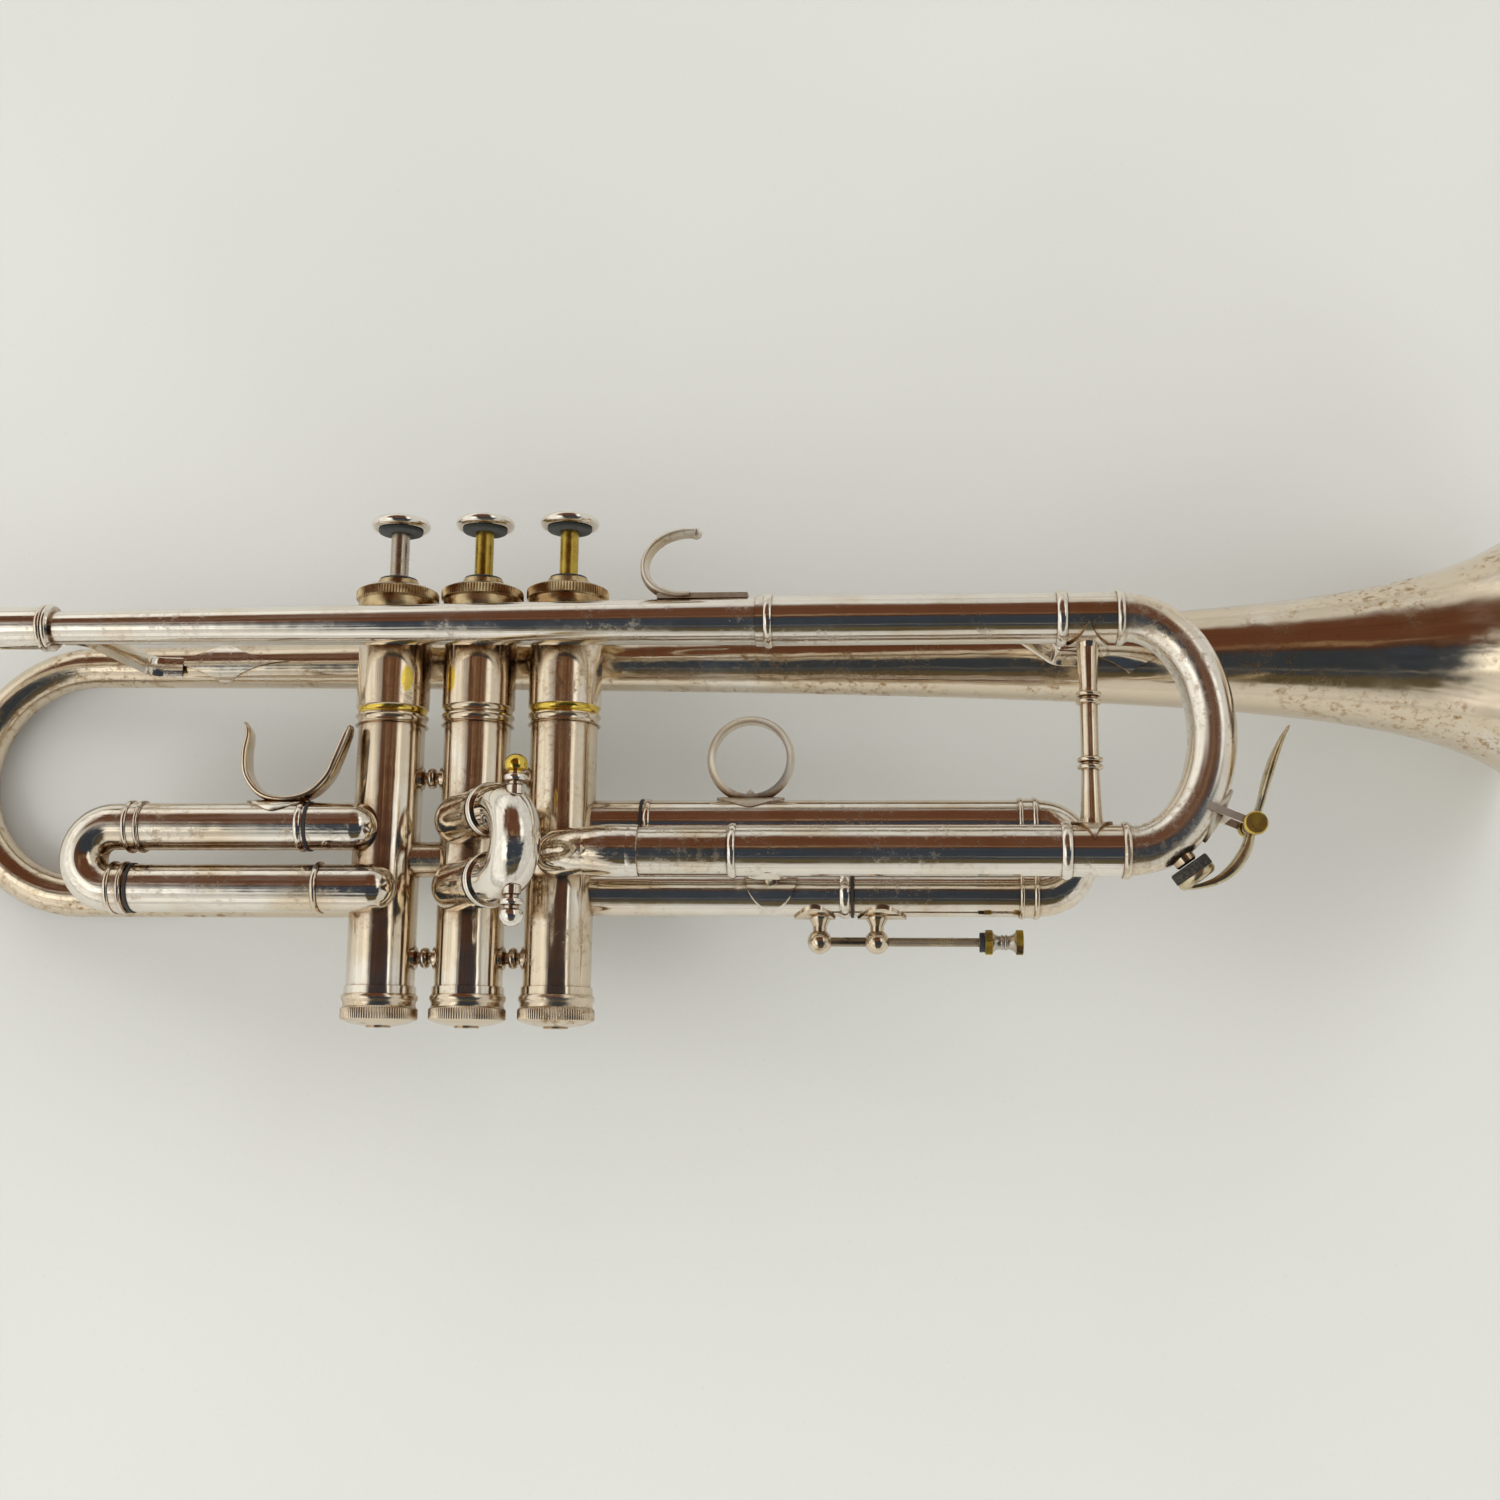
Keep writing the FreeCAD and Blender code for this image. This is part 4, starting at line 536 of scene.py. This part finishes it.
def top_cap(valve):
    """The cap's straight knurl, its bowl below, and its collar above, with a felt washer on top."""
    rim = 11.75
    knurl = 0.45
    hole = 2.75
    top = 15.6
    corners = [(10.0, 0), (10.65, 0), (10.65, 5.4)]
    corners += bulge((10.65, 5.4), (10.9, 8.9), 0.25)
    corners += [(10.9, 9.0), (11.3, 9.3), (rim - 0.2, 9.45), (rim, 9.7, knurl), (rim, 11.8, knurl)]
    corners += [(rim - 0.25, 12.1), (10.9, 12.3)]
    corners += bulge((10.9, 12.3), (6.7, 13.6), 0.35)
    corners += [(6.6, 13.7), (5.95, 13.8), (5.8, 14.0), (5.8, 15.3), (5.5, top), (hole, top), (hole, 12)]
    base = place(valve_x[valve], TOP_CAP_UP, 0)
    name = f"top_cap_{valve}"
    cap = lathe(name, corners, base, UP, "instrument", cap_brass, ridges=84)
    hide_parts("top_caps")
    washer = [(hole, top), (5.3, top), (5.4, 15.85), (5.3, 16.1), (hole, 16.1)]
    lathe(f"cap_washer_{valve}", washer, base, UP, "instrument", black_felt)


def bottom_cap(valve):
    """The cap's knurled rim and its shallow dome with the vent."""
    rim = 10.6
    knurl = 0.28
    vent = 1.2
    corners = [(9.4, 0), (10.25, 0), (10.5, 0.5), (10.5, 1.3), (10.25, 1.8), (10.0, 2.2), (10.0, 3.2)]
    corners += [(rim - 0.2, 3.7), (rim, 4.0, knurl), (rim, 6.5, knurl), (rim - 0.2, 6.8), (9.9, 7.1)]
    corners += bulge((9.9, 7.1), (3.6, 8.5), 0.3)
    corners += [(3.4, 8.6), (3.4, 8.95), (3.2, 9.0), (vent, 9.0), (vent, 6.5)]
    base = place(valve_x[valve], BOTTOM_CAP_UP, 0)
    name = f"bottom_cap_{valve}"
    cap = lathe(name, corners, base, -UP, "instrument", cap_plate, ridges=88)
    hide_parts("bottom_caps")


def button_trim(valve):
    """The felt under a finger button and the pearl in its seat."""
    base = place(valve_x[valve], BUTTON_UP, 0)
    body = f"valve_{valve}"
    corners = [(2.7, -0.1), (5.6, -0.1), (6.2, 0.1), (6.4, 0.45), (6.3, 0.86), (4.3, 0.86), (2.7, 0.2)]
    lathe(f"button_felt_{valve}", corners, base, UP, body, black_felt)
    corners = [(0, 3.02), (6.5, 3.05), (6.6, 3.3)]
    corners += bulge((6.6, 3.3), (0, 4.15), 0.35, 10) + [(0, 4.15)]
    lathe(f"button_pearl_{valve}", corners, base, UP, body, button_pearl)


# ---------------------------------------------------------------- the third slide's stop

# the rod's axis: its height above the leadpipe, and how much nearer it is than the valves
STOP_UP = -86.0
STOP_SIDE = -3.0


def stop_nut():
    """Two knurled flanges joined by a waist with two small beads."""
    base = place(142.4, STOP_UP, STOP_SIDE)
    flange = 3.4
    knurl = 0.28
    bore = 1.36
    for name, start, turned_round in (("left", 0, 1), ("right", 10.3, -1)):
        corners = [(bore, 0), (flange - 0.2, 0), (flange, 0.15, knurl), (flange, 1.85, knurl)]
        corners += [(flange - 0.2, 2.0), (1.9, 2.05), (bore, 2.05)]
        along = RIGHT * turned_round
        rim_base = base + RIGHT * start * MM
        title = f"nut_rim_{name}"
        rim = lathe(title, corners, rim_base, along, "stop_nut", old_brass, ridges=38)
        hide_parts("stop_nut")
    thin, thick = 1.85, 3.1
    corners = [(bore, 1.9), (thick, 1.9)] + bulge((thick, 1.9), (thin, 4.0), -0.3)
    corners += [(thin, 4.1)] + bulge((thin, 4.1), (thin, 5.15), 0.28) + [(1.8, 5.15)]
    corners += bulge((thin, 5.15), (thin, 6.2), 0.28) + [(thin, 6.2)]
    corners += bulge((thin, 6.2), (thick, 8.4), -0.3) + [(thick, 8.4), (bore, 8.4)]
    waist = lathe("nut_waist", corners, base, RIGHT, "stop_nut", nickel)
    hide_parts("stop_nut")


def stop_rod():
    """The rod: smooth between the ball posts, with a fine thread from there to its end."""
    pitch = 0.53
    radius = 1.3
    depth = 0.16
    steps = 24
    start, smooth_end, end = 95.7, 114.5, 152.0
    quarter = pitch / 4
    count = int((end - smooth_end) / quarter)
    threaded = [smooth_end + quarter * (index + 1) for index in range(count)]
    verts = []
    for x in [start, smooth_end] + threaded:
        for step in range(steps):
            turn = step / steps
            phase = ((x - smooth_end) / pitch + turn) % 1
            groove = depth * (1 - abs(2 * phase - 1)) if x > smooth_end else 0
            reach = radius - groove
            angle = 2 * math.pi * turn
            across, near = reach * math.sin(angle), reach * math.cos(angle)
            verts.append(place(x, STOP_UP + across, STOP_SIDE + near))
    faces = tube_faces(range(0, len(verts), steps), steps)
    rod = finish_mesh("threaded_rod", verts, faces, "instrument", rod_steel, sharp=60)
    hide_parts("stop_rod")


# ---------------------------------------------------------------- bent bars and wrapped plates

def eased(before, start, end, after, share):
    """The number that share of the way from start to end has, on a smooth curve through all four."""
    slope = end - before
    bend = 2 * before - 5 * start + 4 * end - after
    twist = 3 * start - before - 3 * end + after
    return (2 * start + slope * share + bend * share**2 + twist * share**3) / 2


def smooth_line(corners, parts=8):
    """A smooth line through corners: each is a tuple of numbers, eased together."""
    line = []
    for index in range(len(corners) - 1):
        before = corners[max(index - 1, 0)]
        start, end = corners[index], corners[index + 1]
        after = corners[min(index + 2, len(corners) - 1)]
        for step in range(parts):
            fours = zip(before, start, end, after)
            line.append(tuple(eased(*four, step / parts) for four in fours))
    line.append(tuple(corners[-1]))
    return line


def ribbon(name, corners, z, body, material, flat=0.75):
    """A bent bar with rounded ends, in the plane of the tubes.

    Corners are (x, y, width towards the viewer, thickness), in millimetres. A lower flat makes the
    bar's section squarer, and 1 makes it round.
    """
    line = smooth_line(corners)
    steps = 20
    verts = []
    rings = []

    def ring(x, y, width, thickness, ahead):
        out = Vector((-ahead.y, ahead.x))
        rings.append(len(verts))
        for step in range(steps):
            turn = 2 * math.pi * step / steps
            wide = math.copysign(abs(math.cos(turn)) ** flat, math.cos(turn)) * width / 2
            thick = math.copysign(abs(math.sin(turn)) ** flat, math.sin(turn)) * thickness / 2
            verts.append(place(x + out.x * thick, y + out.y * thick, z + wide))

    def cap(x, y, width, thickness, ahead, way):
        shares = (0.3, 0.65, 0.88, 0.97) if way < 0 else (0.97, 0.88, 0.65, 0.3)
        for share in shares:
            push = math.sqrt(1 - share * share) * thickness * 0.9 * way
            narrow = 1 - (1 - share) * 0.5
            ring(x + ahead.x * push, y + ahead.y * push, width * narrow, thickness * share, ahead)

    for index, (x, y, width, thickness) in enumerate(line):
        first = line[max(index - 1, 0)]
        second = line[min(index + 1, len(line) - 1)]
        ahead = Vector((second[0] - first[0], second[1] - first[1])).normalized()
        if index == 0:
            cap(x, y, width, thickness, ahead, -1)
        ring(x, y, width, thickness, ahead)
        if index == len(line) - 1:
            cap(x, y, width, thickness, ahead, 1)
    faces = tube_faces(rings, steps)
    return finish_mesh(name, verts, faces, body, material, sharp=50)


def plate_faces(rows, columns):
    """The faces of a thin plate: its outer grid of corners, its inner grid, and the rim between them."""
    layer = (rows + 1) * (columns + 1)
    faces = []
    for row in range(rows):
        for column in range(columns):
            corner = row * (columns + 1) + column
            face = [corner, corner + columns + 1, corner + columns + 2, corner + 1]
            faces.append(face)
            faces.append([vert + layer for vert in face[::-1]])
    rim = list(range(columns + 1))
    rim += [row * (columns + 1) + columns for row in range(1, rows + 1)]
    rim += [rows * (columns + 1) + column for column in range(columns - 1, -1, -1)]
    rim += [row * (columns + 1) for row in range(rows - 1, 0, -1)]
    for first, second in zip(rim, rim[1:] + rim[:1]):
        faces.append([first, second, second + layer, first + layer])
    return faces


def leaf(name, length, width, axis_spot, body, material):
    """A leaf-shaped plate on top of a slide tube that lies along RIGHT through axis_spot (x, y, z)."""
    tube_radius = 6.65
    thickness = 0.8
    side = RIGHT.cross(UP)
    rows, columns = 24, 12
    middle_point = place(*axis_spot)
    verts = []
    for inner in (False, True):
        for row in range(rows + 1):
            along = row / rows * 2 - 1
            half = width / 2 * (1 - abs(along) ** 1.6) + 0.15
            for column in range(columns + 1):
                across = column / columns * 2 - 1
                angle = across * half / tube_radius
                rise = thickness * (0.35 + 0.65 * max(0.0, 1 - across**6))
                height = tube_radius + (-0.1 if inner else rise)
                shell = UP * math.cos(angle) + side * math.sin(angle)
                from_middle = RIGHT * (along * length / 2) + shell * height
                verts.append(middle_point + from_middle * MM)
    faces = plate_faces(rows, columns)
    return finish_mesh(name, verts, faces, body, material, sharp=50)


def thumb_saddle():
    """The thumb's open loop: a rounded band with turned-out tips, on a leaf-shaped foot."""
    corners = [
        (-63.9, -26.6, 3.6, 1.0),
        (-62.7, -29.6, 5.6, 1.9),
        (-63.2, -35.5, 7.0, 2.2),
        (-62.3, -41.5, 7.4, 2.2),
        (-58.0, -46.6, 7.4, 2.1),
        (-51.5, -48.1, 7.4, 2.0),
        (-44.6, -46.6, 7.4, 2.2),
        (-39.6, -42.0, 7.4, 2.4),
        (-37.2, -36.5, 7.2, 2.4),
        (-34.9, -30.2, 6.2, 2.2),
        (-34.3, -28.4, 5.0, 1.7),
    ]
    side = 9.0
    band = ribbon("thumb_band", corners, side, "first_slide", saddle_plate)
    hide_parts("thumb_saddle")
    tube = (-53.5, -55.5, side)
    foot = leaf("thumb_foot", 18, 13, tube, "first_slide", slide_plate)
    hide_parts("thumb_saddle")


# straight out of the tube through the cork and its cup, 35 degrees off straight down
KEY_OUT = RIGHT * 0.574 - UP * 0.819
# where the lever's screw goes through, along and above the leadpipe
KEY_PIVOT = (211.2, -56.9)


def water_key():
    """The lever's barrel, thumb blade, curved arm and cup, the cork, and the spring's two legs."""
    x, y = KEY_PIVOT
    body = "water_key"
    bore, collar = 0.83, 1.9
    barrel = [(bore, -4.8), (collar, -4.8), (collar, -3.0), (1.65, -2.8)]
    barrel += [(1.65, 2.8), (collar, 3.0), (collar, 4.8), (bore, 4.8)]
    pivot = place(x, y, lead_side)
    pieces = [lathe("key_barrel", barrel, pivot, NEAR, body, key_brass)]
    blade = [
        (x + 0.5, y + 0.8, 3.6, 2.2),
        (x + 2.3, y + 5.2, 3.8, 1.9),
        (x + 4.2, y + 11.5, 5.8, 2.3),
        (x + 6.2, y + 17.5, 6.6, 2.2),
        (x + 8.6, y + 23.0, 4.6, 1.4),
        (x + 10.7, y + 26.6, 1.6, 0.7),
    ]
    pieces.append(ribbon("key_blade", blade, lead_side, body, key_brass))
    arm = [
        (x - 0.2, y - 0.6, 3.4, 2.2),
        (x - 1.4, y - 5.6, 4.2, 3.0),
        (x - 4.8, y - 10.8, 4.8, 3.2),
        (x - 9.6, y - 14.4, 4.4, 2.2),
        (x - 15.6, y - 16.2, 3.0, 1.0),
    ]
    pieces.append(ribbon("key_arm", arm, lead_side, body, key_brass))
    cup = [(0, 4.8), (5.3, 4.8), (5.4, 5.0), (5.4, 5.9)]
    cup += bulge((5.4, 5.9), (4.0, 7.0), 0.25) + [(3.9, 7.0), (0, 7.2)]
    mouth = node_centre("water_key_cork") - KEY_OUT * 2.9 * MM
    pad_corners = [(0, 1.75), (5.1, 1.75), (5.5, 2.1), (5.5, 4.6), (5.3, 4.8), (0, 4.8)]
    pad = lathe("key_pad", pad_corners, mouth, KEY_OUT, body, dark_cork)
    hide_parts("water_key_cork")
    pieces.append(lathe("key_cup", cup, mouth, KEY_OUT, body, key_brass))
    for piece in pieces:
        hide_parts("water_key_lever")
    wire = 0.55
    leg = [(x + 1.0, y + 2.0), (x + 2.2, y + 6.5), (x + 3.1, y + 9.4)]
    hook = [(*corner, wire, wire) for corner in leg]
    for side in (-1, 1):
        reach = lead_side + side * 1.9
        ribbon(f"key_wire_{side + 2}", hook, reach, body, spring_steel, flat=1)


def finger_ring():
    """The ring on the third slide: a rounded band, a short neck, and its leaf-shaped foot."""
    x, y, side = 77.7, -34.9, -3.0
    inner, outer, half_width = 10.2, 12.4, 2.3
    corners = [(inner, -half_width)] + bulge((inner, -half_width), (outer, 0), 0.6, 10)
    corners += [(outer, 0)] + bulge((outer, 0), (inner, half_width), 0.6, 10) + [(inner, half_width)]
    body = "third_slide"
    pieces = [lathe("ring_band", corners, place(x, y, side), NEAR, body, ring_plate)]
    neck = [(x, y - 11.0, 4.4, 2.6), (x, y - 11.6, 4.0, 2.2), (x, y - 12.3, 4.6, 3.4)]
    pieces.append(ribbon("ring_neck", neck, side, body, ring_plate))
    tube = (x, -53.2, side)
    pieces.append(leaf("ring_foot", 19, 12, tube, body, ring_plate))
    for piece in pieces:
        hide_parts("finger_ring")


def brace_feet():
    """The pointed feet of the tuning slide's brace, with a tip that shows on the near side."""
    x, lower = 169.8, -63.3
    radius = 6.9
    rows, columns = 16, 10
    for name, y, out in (("upper", 0, -UP), ("lower", lower, UP)):
        tube_point = place(x, y, lead_side)
        verts = []
        for thickness in (0.85, -0.1):
            for row in range(rows + 1):
                around = row / rows * 2 - 1
                angle = around * 1.25
                half = 5.4 * (1 - abs(around)) ** 1.35 + 0.12
                shell = out * math.cos(angle) + NEAR * math.sin(angle)
                for column in range(columns + 1):
                    across = column / columns * 2 - 1
                    from_tube = RIGHT * across * half + shell * (radius + thickness)
                    verts.append(tube_point + from_tube * MM)
        faces = plate_faces(rows, columns)
        title = f"brace_foot_{name}"
        finish_mesh(title, verts, faces, "main_slide", bow_plate, sharp=50)


thumb_saddle()
water_key()
finger_ring()
brace_feet()
for valve in (1, 2, 3):
    top_cap(valve)
    bottom_cap(valve)
    button_trim(valve)
stop_nut()
stop_rod()

# ---------------------------------------------------------------- floor, light and camera

FLOOR_SIZE = 4.0
floor_mesh = bpy.data.meshes.new("table_top")
half = FLOOR_SIZE / 2
floor_corners = [(-half, -half, 0), (half, -half, 0), (half, half, 0), (-half, half, 0)]
floor_mesh.from_pydata(floor_corners, [], [(0, 1, 2, 3)])
floor_mesh.materials.append(table_top("pale_laminate"))
floor = bpy.data.objects.new("table_top", floor_mesh)
bpy.context.scene.collection.objects.link(floor)


def soft_light(name, location, size, power, colour):
    """A lamp of the given size in metres, turned towards the instrument. The plate doesn't mirror it."""
    lamp = bpy.data.lights.new(name, "AREA")
    lamp.shape = "RECTANGLE"
    lamp.size, lamp.size_y = size
    lamp.energy = power
    lamp.color = colour
    holder = bpy.data.objects.new(name, lamp)
    holder.location = location
    holder.rotation_euler = (-Vector(location)).to_track_quat("-Z", "Y").to_euler()
    holder.visible_glossy = False
    bpy.context.scene.collection.objects.link(holder)


NEUTRAL = (1.0, 0.995, 0.97)
SIDE_REACH = 1.15
SIDE_UP = 0.70

soft_light("overhead", (0.0, 0.1, 1.7), (2.2, 2.2), 5.8, NEUTRAL)
soft_light("key", (-0.75, -0.85, 1.3), (0.7, 0.7), 3.8, NEUTRAL)
for turn in (20, 110, 200, 290):
    across = SIDE_REACH * math.cos(math.radians(turn))
    ahead = SIDE_REACH * math.sin(math.radians(turn))
    soft_light(f"side_{turn}", (across, ahead, SIDE_UP), (1.3, 0.9), 4.9, NEUTRAL)


def surroundings():
    """The room as the plate mirrors it: each patch is a colour between two leans from straight up.

    A patch is its colour, its leans towards the right (+X), its leans away from the camera's side
    (+Y), and how soft its edge is. Leans and edges are in degrees.
    """
    patches = {
        "window side": ((1.0, 0.98, 0.92), (-95, -42), (-80, 85), 8),
        "olive edge": ((0.105, 0.085, 0.045), (-29, 45), (-68, -38), 4),
        "slate gap": ((0.040, 0.050, 0.066), (-29, 45), (-46, 8), 4),
        "dark shelf": ((0.050, 0.030, 0.022), (-29, 40), (1, 14), 4),
        "brown wall": ((0.128, 0.054, 0.028), (-33, 28), (6, 62), 7),
        "brown corner": ((0.130, 0.058, 0.030), (-50, -30), (18, 60), 6),
        "near line": ((0.45, 0.40, 0.30), (-60, 60), (-37, -36), 1.5),
        "shelf line": ((0.42, 0.30, 0.18), (-24, 60), (10, 11), 1.0),
        "ceiling lamp": ((1.5, 1.5, 1.42), (-50, -31), (-34, -2), 6),
        "far lamp": ((1.3, 1.28, 1.2), (30, 41), (-4, 45), 5),
    }
    bare_wall = (0.66, 0.655, 0.62)
    world = bpy.data.worlds.new("room")
    world.use_nodes = True
    room = NodeTree(world.node_tree, "Generated")
    looking = room.nodes.new("ShaderNodeSeparateXYZ")
    room.links.new(room.place, looking.inputs["Vector"])

    def drift(scale, stretch, low, high):
        clouds = room.noise(scale, roughness=0.5, stretch=stretch)
        return room.step(clouds, 0.3, 0.7, low, high, kind="LINEAR")

    def lean(part, wavering):
        straight = room.sum("ARCTAN2", looking.outputs[part], looking.outputs["Z"])
        return room.sum("ADD", straight, wavering)

    def between(value, limits, soft):
        low, high = limits
        rising = room.step(value, math.radians(low - soft), math.radians(low + soft), 0, 1)
        falling = room.step(value, math.radians(high - soft), math.radians(high + soft), 1, 0)
        return room.sum("MULTIPLY", rising, falling)

    sideways = lean("X", drift(9, (1, 1, 1), -0.09, 0.09))
    ahead = lean("Y", drift(7, (1.6, 1, 1), -0.07, 0.07))
    colour = bare_wall
    for tint, side_limits, ahead_limits, soft in patches.values():
        share = room.sum(
            "MULTIPLY", between(sideways, side_limits, soft), between(ahead, ahead_limits, soft)
        )
        colour = room.mix(share, colour, tint)
    background = room.nodes["Background"]
    room.put(background.inputs["Color"], colour)
    room.put(background.inputs["Strength"], drift(6, (1, 3.5, 1), 0.78, 1.22))
    bpy.context.scene.world = world


surroundings()

# the camera looks down on the instrument, a little from the side of its slides
CAMERA_PLACE = Vector((0.0174, -0.1111, 0.5496))
CAMERA_AIM = Vector((0.0389, 0.0042, 0.0))
CAMERA_TOP = Vector((-0.009, 1.0, 0.0))
CAMERA_LENS = 43.6

look = (CAMERA_AIM - CAMERA_PLACE).normalized()
side = look.cross(CAMERA_TOP).normalized()
top = side.cross(look)
camera = bpy.data.objects.new("camera", bpy.data.cameras.new("camera"))
camera.data.lens = CAMERA_LENS
camera.data.sensor_width = 36
camera.data.clip_start = 0.02
turned = Matrix((side, top, -look)).transposed().to_4x4()
camera.matrix_world = Matrix.Translation(CAMERA_PLACE) @ turned
bpy.context.scene.collection.objects.link(camera)
bpy.context.scene.camera = camera
bpy.context.scene.view_settings.view_transform = "Standard"
